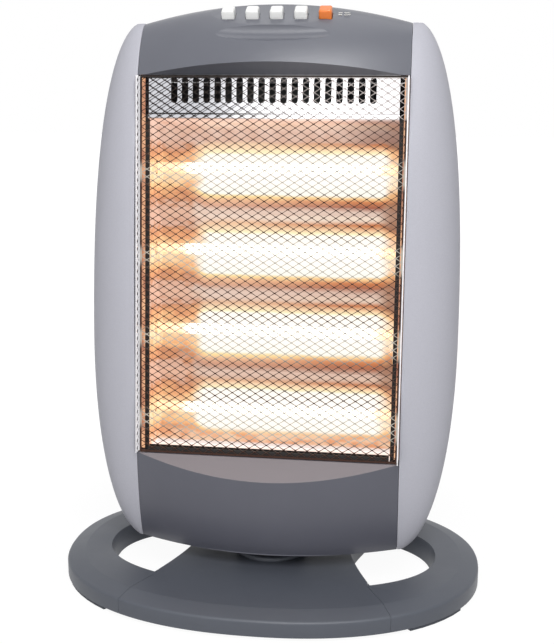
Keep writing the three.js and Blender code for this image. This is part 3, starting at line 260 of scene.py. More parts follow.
def moulding_with_painted_sill_light(name, code, roughness):
    """The lower cover's moulding, with painted light that makes it paler along the sill under the window."""
    finish = Finish(name, leaned=True)
    y, z = finish.axes()[1:]
    off_sill = abs(z - WINDOW_BOTTOM - (y - WINDOW_EDGE_Y) * SILL_SLOPE)
    # Painted light: a mask along the sill plane, where the colour turns paler.
    sill_painted_light = off_sill.rise(0.7, 0.3)
    mottle = finish.noise(38, 3)
    tone = finish.tones(mottle, code, 0.95, 1.05)
    finish.wear(
        Base_Color=finish.blend(sill_painted_light, tone, "8a8387"),
        Roughness=roughness - 0.04 * finish.noise(14, 4), Coat_Weight=0.08, Coat_Roughness=0.25,
    )
    finish.bump(finish.noise(2600, 1), 0.03)
    return finish.material


def silver_paint(name):
    """Silver lacquer on plastic: small flakes and a slow drift of tone."""
    finish = Finish(name)
    flakes = finish.node("ShaderNodeTexVoronoi", {"Vector": finish.place, "Scale": 2400.0}, "Color")
    glint = finish.node("ShaderNodeSeparateColor", {0: flakes})
    drift = finish.noise(9, 2)
    tone = finish.tones(glint * 0.6 + drift * 0.4, "bdbdc6", 0.92, 1.05)
    finish.wear(
        Base_Color=tone, Metallic=0.04, Roughness=0.46 + 0.1 * glint, Specular_IOR_Level=0.14,
    )
    finish.bump(finish.noise(160, 2), 0.02, 0.4)
    return finish.material


def button_plastic(name, code):
    """Glossy button plastic with a thumb-worn middle."""
    finish = Finish(name)
    worn = finish.noise(90, 3)
    tone = finish.tones(worn, code, 0.97, 1.02)
    finish.wear(Base_Color=tone, Roughness=0.3 + 0.08 * worn, Coat_Weight=0.3, Coat_Roughness=0.12)
    finish.bump(finish.noise(900, 1), 0.01)
    return finish.material


# Painted light of the lamps on polished sheet and guard: emitted colour in bands that repeat with the lamps' pitch.
GLOW_BELOW_LAMP = 5.0


def band_place(finish):
    """Where a point lies in its lamp's bands: the height above their middle, and the distance from it.

    Towards the sides the distance grows, so that the painted white zone draws in to the lamp.
    """
    x, _, z = finish.axes()
    turn = (z - (WINDOW_BOTTOM - GLOW_BELOW_LAMP)) / LAMP_PITCH
    above = (turn.fraction() - 0.5) * LAMP_PITCH
    slow = (finish.noise(16, 2, (5, 1, 1)) - 0.5) * 6.0
    fine = (finish.noise(90, 3, (3, 1, 1)) - 0.5) * 4.0
    squeeze = x.rise(-66.0, -92.0) * 10.0 + x.rise(96.0, 113.0) * 5.0
    return x, z, above, abs(above) + slow * 0.5 + fine + squeeze


def polished_with_painted_glow(name):
    # Emission paints the lamps' light, and the shade between the lamps, onto this polished sheet.
    finish = Finish(name, leaned=True)
    x, z, above, distance = band_place(finish)
    reach = distance / 50.0
    to_right = (x + (finish.noise(12, 2) - 0.5) * 80.0).rise(-50.0, 95.0)
    mottle = finish.noise(120, 3, (2, 1, 1)).rise(0.35, 0.65)

    def bands(near, warm, strong, ridge):
        """Painted glow: white at the lamp, then the four colours in turn up to the ridge."""
        return finish.ramp(reach, [
            (0.0, (1.0, 1.0, 0.97)), (0.37, (1.0, 0.99, 0.9)), (0.42, near),
            (0.49, warm), (0.59, strong), (0.68, ridge),
            (0.84, ridge),
        ])

    # The painted light differs between the upper and the lower flank of a trough, and from left to right.
    upper = finish.blend(
        to_right, bands("fff0c4", "fbe0bc", "f3d0ae", "ead8ca"), bands("ffeec0", "f4cba2", "c97a4a", "ecdccb")
    )
    lower = finish.blend(
        to_right, bands("ffe3a4", "ebbc96", "d6a58c", "e0cbbd"), bands("fbd49a", "cf8457", "964a30", "d8c3b6")
    )
    glow = finish.blend(above.rise(-3.0, 3.0), lower, upper)
    # Painted shade: streaks that darken the glow between the lamps.
    streaks = finish.noise(34, 4, (7, 1, 1), 0.65).rise(0.35, 0.68)
    painted_streak_shade = finish.blend(streaks, (1.0, 0.9, 0.84), (1.0, 1.0, 1.0))
    between_lamps = distance.rise(21.0, 30.0)
    glow = finish.blend(between_lamps * 0.8, glow, finish.blend(1.0, glow, painted_streak_shade, "MULTIPLY"))
    # Painted shade: brownish between the lamps in the lower part of the sheet.
    painted_low_shade = z.rise(330.0, 140.0) * distance.rise(24.0, 32.0)
    glow = finish.blend(painted_low_shade * 0.5, glow, "b98a74")
    # At both ends the painted glow's white gives way to yellow, and on the left to mottled orange.
    waver = (finish.noise(45, 3) - 0.5) * 26.0
    left_end = (x + waver).rise(-72.0, -84.0)
    right_end = (x + waver * 0.5).rise(97.0, 108.0)
    painted_end_glow = finish.ramp(reach + mottle * 0.18, [
        (0.0, "fdf2da"), (0.22, "f8dfb6"), (0.42, "f0c48e"),
        (0.62, "e3a273"), (0.76, "c98862"), (0.92, "dcb099"),
    ])
    glow = finish.blend(left_end * 0.92, glow, painted_end_glow)
    glow = finish.blend(right_end * 0.75, glow, painted_end_glow)
    # Painted shade: dark brown between the lamps at the right end.
    glow = finish.blend(x.rise(92.0, 108.0) * distance.rise(24.0, 31.0) * 0.7, glow, "84604f")
    # Under the lip the painted light is pinkish, and brown at the right end; at the sill the painted light is
    # orange.
    under_lip = (z + waver * 0.25).rise(371.0, 377.0)
    painted_lip_light = finish.blend(finish.noise(60, 3), "c9977e", "ecd2c4")
    painted_lip_light = finish.blend(x.rise(40.0, 110.0) * 0.85, painted_lip_light, "84665e")
    glow = finish.blend(under_lip, glow, painted_lip_light)
    foot = z.rise(99.0, 91.0)
    sill_glow = finish.blend(mottle, "e89f74", "f6cfae")
    glow = finish.blend(foot * 0.9, glow, sill_glow)
    # Painted highlight: a pale band at the very foot of the sheet.
    glow = finish.blend(z.rise(87.5, 85.5) * 0.8, glow, (0.95, 0.90, 0.88))
    cavity = z.rise(LINING_TOP + 3.0, LINING_TOP)
    # The slotted strip above has a painted reflection of the guard on the left, and painted light that whitens it
    # to the right.
    painted_strip_brightening = x.rise(-70.0, 30.0)
    strip_light = finish.blend(painted_strip_brightening, (0.02, 0.02, 0.02), (0.55, 0.53, 0.53))
    light = finish.blend(cavity, strip_light, glow)
    facing = finish.node("ShaderNodeNewGeometry", output="Normal")
    behind = finish.node("ShaderNodeSeparateXYZ", {0: facing}, 1).rise(0.1, 0.3)
    light = finish.blend(behind, light, (0.0, 0.0, 0.0))
    brushed = finish.noise(420, 2, (14, 1, 1))
    # Painted shade and light in the strip's metal colour too: darker on the left, paler to the right.
    painted_strip_metal_shade = finish.blend(painted_strip_brightening, (0.34, 0.34, 0.36), (0.66, 0.66, 0.68))
    sheet_metal = finish.blend(behind, painted_strip_metal_shade, (0.66, 0.66, 0.69))
    # Inside the cavity the metal colour is made dark, so the painted glow alone gives the sheet its look.
    base = finish.blend(cavity * (1 - behind), sheet_metal, (0.07, 0.045, 0.035))
    finish.wear(
        Base_Color=base, Metallic=1.0, Roughness=0.07 + 0.09 * brushed + 0.25 * behind,
        Emission_Color=light, Emission_Strength=1.0,
    )
    finish.bump(finish.noise(30, 2, (3, 1, 1)), 0.12, 0.4)
    return finish.material


def guard_wire(name):
    """Plated expanded steel with painted light: painted shade keeps it dark against the sheet, painted glow pales
    it in front of each lamp and of the strip, and a painted highlight brightens its folded sides.
    """
    finish = Finish(name, leaned=True)
    x, z, _, distance = band_place(finish)
    heights = z.rise(94.0, 101.0) * z.rise(378.0, 370.0)
    painted_glow_share = distance.rise(22.0, 12.0) * heights
    inside = z.rise(LINING_TOP + 3.0, LINING_TOP)
    in_strip = (1 - inside) * x.rise(-40.0, 60.0) * z.rise(429.4, 429.0)
    sides = abs(x).rise(120.2, 120.8)
    # Painted glow on the wire in front of each lamp, near black elsewhere.
    painted_wire_glow = finish.blend(painted_glow_share, (0.035, 0.012, 0.007), (0.46, 0.43, 0.37))
    light = finish.blend(inside, (0.0, 0.0, 0.0), painted_wire_glow)
    light = finish.blend(in_strip * 0.8, light, (0.55, 0.50, 0.48))
    # Painted highlight on the folded sides.
    light = finish.blend(sides, light, (0.42, 0.42, 0.43))
    tarnish = finish.noise(300, 2)
    # Shaded and lit copies of one plating: dark on the face, pale on the folded sides, with real tarnish in both.
    dark = finish.blend(tarnish, "1d1816", "352c28")
    bright = finish.blend(tarnish, "9a9698", "d8d6da")
    finish.wear(
        Base_Color=finish.blend(sides, dark, bright), Metallic=0.7, Roughness=0.34 + 0.2 * tarnish,
        Emission_Color=light, Emission_Strength=1.0,
    )
    return finish.material


def lit_lining(name):
    """The edge sheet beside the lamps: painted shade where it backs the guard's folded sides, painted warm glow in
    front.
    """
    finish = Finish(name, leaned=True)
    x = finish.axes()[0]
    warm_part = abs(x).rise(121.9, 121.7)
    mottle = finish.noise(160, 2, (1, 1, 3)).rise(0.3, 0.7)
    warm = finish.blend(mottle, "a8654a", "f2b98c")
    light = finish.blend(warm_part, (0.015, 0.015, 0.017), warm)
    finish.wear(
        Base_Color=(0.05, 0.05, 0.055), Metallic=0.4, Roughness=0.35 + 0.1 * mottle,
        Emission_Color=light, Emission_Strength=1.0,
    )
    return finish.material


def plain_steel(name, code, roughness, streak, metallic=1.0):
    """Sheet or turned steel with drawing marks along X and a cloudy plating."""
    finish = Finish(name)
    marks = finish.noise(700, 2, (streak, 1, 1))
    cloud = finish.noise(45, 3)
    finish.wear(
        Base_Color=finish.tones(cloud, code, 0.82, 1.1),
        Metallic=metallic, Roughness=roughness + 0.16 * marks,
    )
    finish.bump(marks, 0.02, 0.5)
    return finish.material


def pad_rubber(name):
    finish = Finish(name)
    dust = finish.noise(120, 4)
    finish.wear(
        Base_Color=finish.blend(dust, "3f434a", "53575f"),
        Roughness=0.78 + 0.14 * dust,
    )
    finish.bump(finish.noise(900, 2), 0.06)
    return finish.material


def lamp_ceramic(name):
    finish = Finish(name)
    speckle = finish.noise(700, 3)
    scorch = finish.noise(40, 2)
    clean = finish.blend(speckle, "ded6c6", "f0eade")
    finish.wear(
        Base_Color=finish.blend(scorch.rise(0.5, 0.8) * 0.5, clean, "a2876a"),
        Roughness=0.62 + 0.2 * speckle,
    )
    finish.bump(speckle, 0.05)
    return finish.material


def lamp_quartz(name):
    """Quartz tube, blown out by the wire inside along its hot length."""
    finish = Finish(name, leaned=True)
    x = finish.axes()[0]
    hot = (x + CAVITY_HALF_WIDTH).rise(22.0, 40.0) * (CAVITY_HALF_WIDTH - x).rise(10.0, 26.0)
    light = finish.blend(hot, "e2a06a", (1.0, 0.98, 0.90))
    seeds = finish.noise(500, 2)
    finish.wear(
        Base_Color="f7f1e6", Roughness=0.05 + 0.05 * seeds,
        Alpha=0.35 + 0.6 * hot, Emission_Color=light, Emission_Strength=1.0,
    )
    return finish.material


def hot_wire(name):
    finish = Finish(name, leaned=True)
    flicker = finish.noise(300, 2, (3, 1, 1))
    light = finish.blend(flicker, (1.0, 0.85, 0.6), (1.0, 0.97, 0.85))
    finish.wear(
        Base_Color="ffd9a0", Metallic=1.0, Roughness=0.4,
        Emission_Color=light, Emission_Strength=1.2,
    )
    return finish.material


FINISHES = {
    "silver_plastic": silver_paint("silver_lacquer"),
    "slate_plastic": moulded_plastic("slate_moulding", "64666f", 0.34, coat=0.16),
    "base_plastic": moulded_plastic("base_moulding", "535760", 0.46),
    "dark_plastic": moulded_plastic("rear_moulding", "3c3e44", 0.58, 0.06),
    "black_plastic": moulded_plastic("black_moulding", "1d1d20", 0.5, 0.04),
    "white_plastic": moulded_plastic("natural_nylon", "e9e8e2", 0.4, 0.02),
    "white_button": button_plastic("white_button_plastic", "f6f6f4"),
    "orange_button": button_plastic("orange_button_plastic", "f07f2c"),
    "pad_rubber": pad_rubber("pad_rubber_compound"),
    "polished_aluminium": polished_with_painted_glow("polished_reflector_sheet_with_painted_glow"),
    "guard_steel": guard_wire("plated_guard_steel_with_painted_light"),
    "dark_steel": plain_steel("burnished_steel", "211d1c", 0.5, 6, 0.3),
    "zinc_steel": plain_steel("zinc_plated_steel", "a9abae", 0.34, 4),
    "ceramic": lamp_ceramic("lamp_end_ceramic"),
    "quartz": lamp_quartz("lamp_quartz_glass"),
    "filament_wire": hot_wire("glowing_tungsten"),
}
EDGE_LINING = lit_lining("lit_edge_sheet")
# Painted shade: the lower cover's slate is a shade darker than the top cover's, on top of the paler sill's painted
# light.
SLATE_WITH_PAINTED_SILL_LIGHT = moulding_with_painted_sill_light("slate_moulding_with_painted_sill_light", "5a5b65", 0.42)


# --- mesh helpers, in millimetres
def linked(name, data):
    """A new object in the scene that shows a mesh, text, lamp or camera."""
    piece = bpy.data.objects.new(name, data)
    bpy.context.scene.collection.objects.link(piece)
    return piece


def as_it_is(name, made):
    """A new object from a bmesh."""
    mesh = bpy.data.meshes.new(name)
    made.to_mesh(mesh)
    made.free()
    return linked(name, mesh)


def object_from(name, made):
    """A new object from a bmesh, with its doubles merged and its faces turned outwards."""
    bmesh.ops.remove_doubles(made, verts=made.verts, dist=0.001)
    bmesh.ops.recalc_face_normals(made, faces=made.faces)
    return as_it_is(name, made)


def band(made, low, high):
    """Faces all the way round between two loops of as many corners."""
    for i in range(len(low)):
        k = (i + 1) % len(low)
        made.faces.new((low[i], high[i], high[k], low[k]))


def between(name, outer, inner, columns, rows):
    """A closed solid between two point functions of (u, v), each from 0 to 1."""
    made = bmesh.new()
    sheets = []
    for point in (outer, inner):
        sheets.append([
            [made.verts.new(point(i / columns, j / rows)) for i in range(columns + 1)]
            for j in range(rows + 1)
        ])
    for sheet in sheets:
        for low, high in zip(sheet, sheet[1:]):
            for i in range(columns):
                made.faces.new((low[i], low[i + 1], high[i + 1], high[i]))
    rims = []
    for sheet in sheets:
        left = [row[0] for row in reversed(sheet[1:-1])]
        rims.append(sheet[0] + [row[-1] for row in sheet[1:-1]] + sheet[-1][::-1] + left)
    front, back = rims
    for i in range(len(front)):
        k = (i + 1) % len(front)
        made.faces.new((front[i], front[k], back[k], back[i]))
    return object_from(name, made)


def prism(name, outlines, place, low, high):
    """Outlines drawn as 2D points, run from low to high; place(a, b, run) gives each corner."""
    made = bmesh.new()
    for outline in outlines:
        ends = [[made.verts.new(place(a, b, run)) for a, b in outline] for run in (low, high)]
        made.faces.new(ends[0])
        made.faces.new(ends[1][::-1])
        band(made, *ends)
    return object_from(name, made)


def along_x(name, outlines, x0, x1):
    return prism(name, outlines, lambda y, z, x: (x, y, z), x0, x1)


def along_y(name, outlines, y0, y1):
    return prism(name, outlines, lambda x, z, y: (x, y, z), y0, y1)


def raised(name, outlines, z0, z1):
    return prism(name, outlines, lambda x, y, z: (x, y, z), z0, z1)


def rectangle(a0, a1, b0, b1):
    return [(a0, b0), (a1, b0), (a1, b1), (a0, b1)]


def rounded(a0, a1, b0, b1, radius, steps=6):
    """A rectangle's outline with round corners."""
    corners = [(a1 - radius, b0 + radius, -90), (a1 - radius, b1 - radius, 0),
               (a0 + radius, b1 - radius, 90), (a0 + radius, b0 + radius, 180)]
    outline = []
    for a, b, start in corners:
        for i in range(steps + 1):
            turn = math.radians(start + 90 * i / steps)
            outline.append((a + radius * math.cos(turn), b + radius * math.sin(turn)))
    return outline


def turned(name, profile, sides=96, axis="Z", centre=(0, 0, 0)):
    """A closed ring of [radius, height] points turned about an axis; a radius of 0 closes on the axis."""
    made = bmesh.new()
    stations = []
    for i in range(sides):
        turn = 2 * math.pi * i / sides
        row = []
        for radius, height in profile:
            a, b = radius * math.cos(turn), radius * math.sin(turn)
            point = {"Z": (a, b, height), "X": (height, a, b), "Y": (b, height, a)}[axis]
            row.append(made.verts.new(Vector(point) + Vector(centre)))
        stations.append(row)
    for here, there in zip(stations, stations[1:] + stations[:1]):
        band(made, here, there)
    bmesh.ops.remove_doubles(made, verts=made.verts, dist=0.001)
    bmesh.ops.dissolve_degenerate(made, edges=made.edges, dist=0.0005)
    return object_from(name, made)


def plain(piece):
    """Applies the piece's modifiers."""
    bpy.context.view_layer.update()
    graph = bpy.context.evaluated_depsgraph_get()
    mesh = bpy.data.meshes.new_from_object(piece.evaluated_get(graph))
    piece.modifiers.clear()
    piece.data = mesh
    return piece


def carve(piece, *tools, operation="DIFFERENCE"):
    """Cuts the tools out of the piece and removes them."""
    for tool in tools:
        change = piece.modifiers.new("carve", "BOOLEAN")
        change.operation, change.solver, change.object = operation, "EXACT", tool
        plain(piece)
        bpy.data.objects.remove(tool)
    return piece


def soften(piece, width, segments=2, angle=32):
    """Rounds the edges that are sharper than the angle."""
    edge = piece.modifiers.new("soften", "BEVEL")
    edge.width, edge.segments = width, segments
    edge.limit_method, edge.angle_limit = "ANGLE", math.radians(angle)
    edge.use_clamp_overlap = True
    return plain(piece)


def settle(piece, slot, *nodes, place=LEANED, body="heater", finish=None, crease=32):
    """Puts a finished piece in the frame, on its body, in its slot's finish or in one of its own."""
    mesh = piece.data
    mesh.transform(place)
    mesh.shade_smooth()
    mesh.set_sharp_from_angle(angle=math.radians(crease))
    mesh.materials.clear()
    mesh.materials.append(finish or FINISHES[slot])
    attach(piece, body)
    if nodes:
        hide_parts(*nodes)


# --- body form in the leaned frame
def shoulder(share, power, root):
    return max(0.0, 1 - min(1.0, share) ** power) ** (1 / root)


def panel_bulge(z):
    if z > PANEL_WIDEST:
        return PANEL_BULGE * shoulder((z - PANEL_WIDEST) / (PANEL_TOP - PANEL_WIDEST), 2.4, 2.2)
    return PANEL_BULGE * shoulder((PANEL_WIDEST - z) / (PANEL_WIDEST - BODY_FOOT), 2.2, 2)


def depth_share(z, full_depth, foot_depth, power):
    """Share of the full depth that is left at height z, falling to foot_depth at the foot."""
    if z > DEEPEST:
        return shoulder((z - DEEPEST) / (COVER_CORNER - DEEPEST), 3, 2)
    lost = 1 - (foot_depth / full_depth) ** 2
    fallen = (DEEPEST - z) / (DEEPEST - BODY_FOOT)
    return math.sqrt(max(0.0, 1 - lost * fallen ** power))


def front_share(z):
    return depth_share(z, FRONT_DEPTH, FRONT_FOOT_DEPTH, 2)


def rear_share(z):
    return depth_share(z, REAR_DEPTH, REAR_FOOT_DEPTH, 6)


def across(x):
    return max(0.0, 1 - (x / COVER_HALF_WIDTH) ** 2)


def crown_at(x):
    return COVER_CORNER + CROWN_RISE * across(x)


def front_edge_y(z):
    return SPINE_Y - FRONT_DEPTH * front_share(z)


def rear_cover_y(x, z):
    return SPINE_Y + (REAR_DEPTH + REAR_CROWN * across(x)) * rear_share(z)


def lower_cover_y(x, z):
    flare = LOWER_COVER_FLARE * max(0.0, (WINDOW_BOTTOM - z) / (WINDOW_BOTTOM - BODY_FOOT))
    return front_edge_y(z) - (LOWER_COVER_BELLY + flare) * across(x)


def side_panel(word, side):
    low, high, thinnest = BODY_FOOT + 1.5, COVER_CORNER, 3.5

    def place(wall):
        def point(u, v):
            turn = math.pi * u
            z = low + (high - low) * (1 - math.cos(math.pi * v)) / 2
            reach = max(thinnest, panel_bulge(z))
            front = max(thinnest, FRONT_DEPTH * front_share(z))
            rear = max(thinnest, REAR_DEPTH * rear_share(z))
            depth = front if turn < math.pi / 2 else rear
            inward = lambda size: max(size - wall, 1.2) if wall else size
            return (
                side * (PANEL_INNER + inward(reach) * math.sin(turn)),
                SPINE_Y - inward(depth) * math.cos(turn),
                min(high - wall, max(low + wall, z)),
            )
        return point

    piece = between(f"{word}_panel_shell", place(0), place(SHELL_WALL), 48, 110)
    soften(piece, 0.9, 3, 40)
    settle(piece, "silver_plastic", f"{word}_side_panel")


# --- top cover
def loaf(name, wall, bottom, columns=84, rows=110):
    """The top cover's filled form, drawn in by wall."""
    half_width = COVER_HALF_WIDTH - wall

    def profile(x, v):
        turn = 2 * v - 1
        top = crown_at(x) - wall
        lowest = (WINDOW_TOP - 2 - DEEPEST) / (top - DEEPEST)
        share = 1 - (1 - lowest) * turn ** 2
        belly = FRONT_DEPTH + TOP_COVER_BELLY * across(x) if turn < 0 else REAR_DEPTH + REAR_CROWN * across(x)
        depth = max(0.0, belly * shoulder(share, 3, 2) - wall)
        return SPINE_Y + math.copysign(depth, turn), DEEPEST + (top - DEEPEST) * share

    def outer(u, v):
        x = half_width * (2 * u - 1)
        return (x, *profile(x, v))

    def inner(u, v):
        x = half_width * (2 * u - 1)
        return (x, profile(x, v)[0], bottom)

    return between(name, outer, inner, columns, rows)


def below_visor(lift):
    edge = WINDOW_EDGE_Y + (SHELL_WALL if lift else 0)
    root = WINDOW_TOP + lift * math.hypot(1, VISOR_SLOPE)
    outline = [
        (FAR, root), (edge, root), (edge - FAR, root + VISOR_SLOPE * FAR), (edge - FAR, 0), (FAR, 0),
    ]
    return along_x("visor_cutter", [outline], -FAR, FAR)


def above_facet(depth):
    tool = raised("facet_cutter", [rectangle(-FAR, FAR, -FAR, FAR)], -depth, FAR)
    edge = Matrix.Translation((0, *FACET_EDGE)) @ Matrix.Rotation(FACET_SLOPE, 4, "X")
    tool.data.transform(edge)
    return tool


def scoop(wall):
    """The finger scoop: round in the side view from the facet's edge down, dwindling at both ends."""
    chord = Vector(FACET_EDGE) - Vector(SCOOP_LOWER)
    stand = math.sqrt(SCOOP_RADIUS ** 2 - chord.length_squared / 4) / chord.length
    to_centre = -chord / 2 + stand * Vector((-chord.y, chord.x))
    ball = bmesh.new()
    bmesh.ops.create_uvsphere(ball, u_segments=120, v_segments=90, radius=1)
    for corner in ball.verts:
        run, a, b = corner.co.z, corner.co.x, corner.co.y
        share = math.hypot(a, b)
        corner.co = (
            BUTTON_X[2] + (SCOOP_HALF_WIDTH + wall) * run,
            FACET_EDGE[0] + to_centre.x * share + (SCOOP_RADIUS + wall) * a,
            FACET_EDGE[1] + to_centre.y * share + (SCOOP_RADIUS + wall) * b,
        )
    return object_from("scoop_cutter", ball)


def top_cover():
    form = loaf("top_cover_shell", 0, WINDOW_TOP - 2.5)
    carve(form, below_visor(0), above_facet(0), scoop(0))
    hollow = loaf("top_cover_hollow", SHELL_WALL, WINDOW_TOP - 10, 48, 60)
    carve(hollow, below_visor(SHELL_WALL), above_facet(SHELL_WALL), scoop(SHELL_WALL))
    carve(form, hollow)
    half_width, half_length = BUTTON_WIDTH / 2 + 0.5, BUTTON_LENGTH / 2 + 0.5
    outlines = [rounded(x - half_width, x + half_width, -half_length, half_length, 1.4) for x in BUTTON_X]
    wells = raised("button_wells", outlines, -20, 20)
    wells.data.transform(Matrix.Translation(FACET_MIDDLE) @ Matrix.Rotation(FACET_SLOPE, 4, "X"))
    carve(form, wells)
    settle(form, "slate_plastic", "top_cover", crease=24)


# --- lower cover
def below_plate():
    tool = raised("plate_cutter", [rectangle(-FAR, FAR, -FAR, FAR)], -FAR, PLATE_BOTTOM)
    tool.data.transform(LEANED.inverted() @ LEVEL)
    return tool


def block(name, face, flat, wall, low, high, columns, rows):
    """A closed block as wide as the covers, between y = face(x, z) and the plane y = flat."""
    half_width = COVER_HALF_WIDTH - max(0.0, wall)

    def surface(depth):
        def point(u, v):
            x, z = half_width * (2 * u - 1), low + (high - low) * v
            return x, depth(x, z), z
        return point

    return between(name, surface(face), surface(lambda x, z: flat), columns, rows)


def lower_form(name, wall, top, back, columns=84, rows=40):
    def face(x, z):
        return min(lower_cover_y(x, max(z, BODY_FOOT)) + wall, back - wall / 2 - 0.3)

    return block(name, face, back, wall, BODY_FOOT - 5, top, columns, rows)


def above_sill(depth):
    rise = -depth * math.hypot(1, SILL_SLOPE)
    edge = WINDOW_EDGE_Y + (SHELL_WALL if depth else 0)
    outline = [
        (edge, WINDOW_BOTTOM + rise), (edge, FAR), (edge - FAR, FAR),
        (edge - FAR, WINDOW_BOTTOM + rise - SILL_SLOPE * FAR),
    ]
    return along_x("sill_cutter", [outline], -FAR, FAR)


def lower_cover():
    back = SPINE_Y - COVER_GAP
    form = lower_form("lower_cover_shell", 0, WINDOW_BOTTOM, back)
    carve(form, above_sill(0), below_plate())
    hollow = lower_form("lower_cover_hollow", SHELL_WALL, WINDOW_BOTTOM - SHELL_WALL, back + 10, 48, 24)
    carve(hollow, above_sill(SHELL_WALL))
    carve(form, hollow)
    settle(form, "slate_plastic", "lower_cover", finish=SLATE_WITH_PAINTED_SILL_LIGHT, crease=24)


# --- rear cover
def rear_form(name, wall, front, low, high, columns=60, rows=80):
    return block(name, lambda x, z: rear_cover_y(x, z) - wall, front, wall, low, high, columns, rows)


def rear_cover():
    skirt_front, front, low = SPINE_Y + COVER_GAP, 21.5, BODY_FOOT - 10
    skirt_height = WINDOW_BOTTOM - 0.4
    form = rear_form("rear_cover_shell", 0, skirt_front, low, WINDOW_TOP - 0.4)
    hollow = rear_form("rear_hollow", SHELL_WALL, skirt_front - 10, low - 10, WINDOW_TOP - 2.9, 30, 40)
    above_skirt = along_x("skirt_cutter", [rectangle(-FAR, front, skirt_height, FAR)], -FAR, FAR)
    carve(form, hollow, above_skirt, below_plate())
    vents = [
        rounded(x * VENT_PITCH - 3, x * VENT_PITCH + 3, z - 17, z + 17, 2.9)
        for z in VENT_HEIGHTS for x in range(-5, 6)
    ]
    handle = [rounded(-54.3, 54.3, HANDLE_Z - 13.3, HANDLE_Z + 13.3, 6)]
    carve(form, along_y("vent_cutters", vents, 23, 90), along_y("handle_cutter", handle, 0, 90))
    gland = turned("gland_cutter", [(0, 0), (6.3, 0), (6.3, 90), (0, 90)], 32, "Y", (GLAND_X, 0, GLAND_Z))
    carve(form, gland)
    settle(form, "dark_plastic", "rear_cover", crease=28)


def handle_cup():
    half_width, half_height, wall = 54.0, 13.0, 2.0
    form = rear_form("handle_cup_shell", -1, HANDLE_FLOOR_Y, HANDLE_Z - 15, HANDLE_Z + 15, 40, 12)
    outside = [rounded(-half_width, half_width, HANDLE_Z - half_height, HANDLE_Z + half_height, 5.7)]
    inside = [rounded(-half_width + wall, half_width - wall,
                      HANDLE_Z - half_height + wall, HANDLE_Z + half_height - wall, 3.7)]
    carve(form, along_y("cup_outline", outside, 0, 90), operation="INTERSECT")
    carve(form, along_y("cup_recess", inside, HANDLE_FLOOR_Y + wall, 90))
    settle(form, "black_plastic", "handle_cup")


def cord_gland():
    seat = rear_cover_y(GLAND_X, GLAND_Z + 9) + 0.3
    profile = [
        (3.6, -10), (6, -10), (6, 0), (9, 0), (9, 1.3), (8.4, 2), (6.6, 2.2),
        (6, 3), (5.7, 5.4), (5.2, 6), (4.1, 6), (3.6, 5.5),
    ]
    piece = turned("cord_gland_body", profile, 40, "Y", (GLAND_X, seat, GLAND_Z))
    settle(piece, "black_plastic", "cord_gland")


# --- base
def swell(cosine):
    return math.copysign(abs(cosine) ** (2 / OVAL_POWER), cosine)


def oval(half_length, half_depth, sides=192):
    turns = [2 * math.pi * i / sides for i in range(sides)]
    return [(half_length * swell(math.cos(t)), half_depth * swell(math.sin(t))) for t in turns]


def dome(name, inset, drop, bottom):
    """The base's filled form, drawn in by inset all round and lowered by drop."""
    lowered, depth = SKIRT_TOP - drop, BASE_TOP - SKIRT_TOP
    chamfer = [(0.01, 0), (0.04, 0.16), (0.1, 0.28), (0.14, 0.32), (1.12, 0.97), (1.16, 0.99), (1.2, 1)]
    profile = [(0, bottom), (0, lowered - 0.8)]
    profile += [(back * RIM_WIDTH, lowered + up * depth) for back, up in chamfer]
    made = bmesh.new()
    loops = []
    for back, z in profile:
        outline = oval(BASE_HALF_LENGTH - inset - back, BASE_HALF_DEPTH - inset - back)
        loops.append([made.verts.new((x, y, z)) for x, y in outline])
    for low, high in zip(loops, loops[1:]):
        band(made, low, high)
    made.faces.new(loops[0])
    made.faces.new(loops[-1])
    return object_from(name, made)


def drafted(name, outline, draft):
    """An outline raised over the base's height, which draft draws in towards the foot."""
    low, high = SKIRT_BOTTOM - 10, BASE_TOP + 10

    def place(a, b, z):
        depth = HOLE_DRAFT * (BASE_TOP - z) / (BASE_TOP - SKIRT_BOTTOM)
        return (*draft(a, b, depth), z)

    return prism(name, [outline], place, low, high)


def holes(wall, steps=40):
    """The open spaces left and right of the bridge, widened by wall."""
    length, depth = HOLE_HALF_LENGTH + wall, HOLE_HALF_DEPTH + wall
    opening = drafted(
        "base_hole_cutter", oval(length, depth, 240),
        lambda x, y, inset: (x * (1 - inset / length), y * (1 - inset / depth)),
    )
    half = []
    for i in range(steps + 1):
        y = BASE_HALF_DEPTH * (2 * i / steps - 1)
        flare = (abs(y) / HOLE_HALF_DEPTH) ** BRIDGE_FLARE_POWER
        half.append(((BRIDGE_WAIST + BRIDGE_FLARE * flare) / 2 - wall, y))
    bridge = drafted(
        "bridge_keeper", half + [(-x, y) for x, y in reversed(half)],
        lambda x, y, inset: (x + math.copysign(inset, x), y),
    )
    return carve(opening, bridge)


def arc_outline(side, gap):
    flank = SEAM_X + gap
    reach = BASE_HALF_DEPTH + 10
    corner = flank + SEAM_LEAN * (reach - SEAM_Y)
    outline = [(flank, -SEAM_Y), (corner, -reach), (FAR, -reach), (FAR, reach), (corner, reach), (flank, SEAM_Y)]
    return [(side * x, y) for x, y in outline]


def base_shell(name):
    shell = dome(name, 0, 0, SKIRT_BOTTOM)
    carve(shell, holes(0))
    soften(shell, 1.3, 4, 34)
    hollow = dome("base_hollow", BASE_WALL, BASE_WALL, SKIRT_BOTTOM - 10)
    carve(hollow, holes(BASE_WALL))
    return carve(shell, hollow)


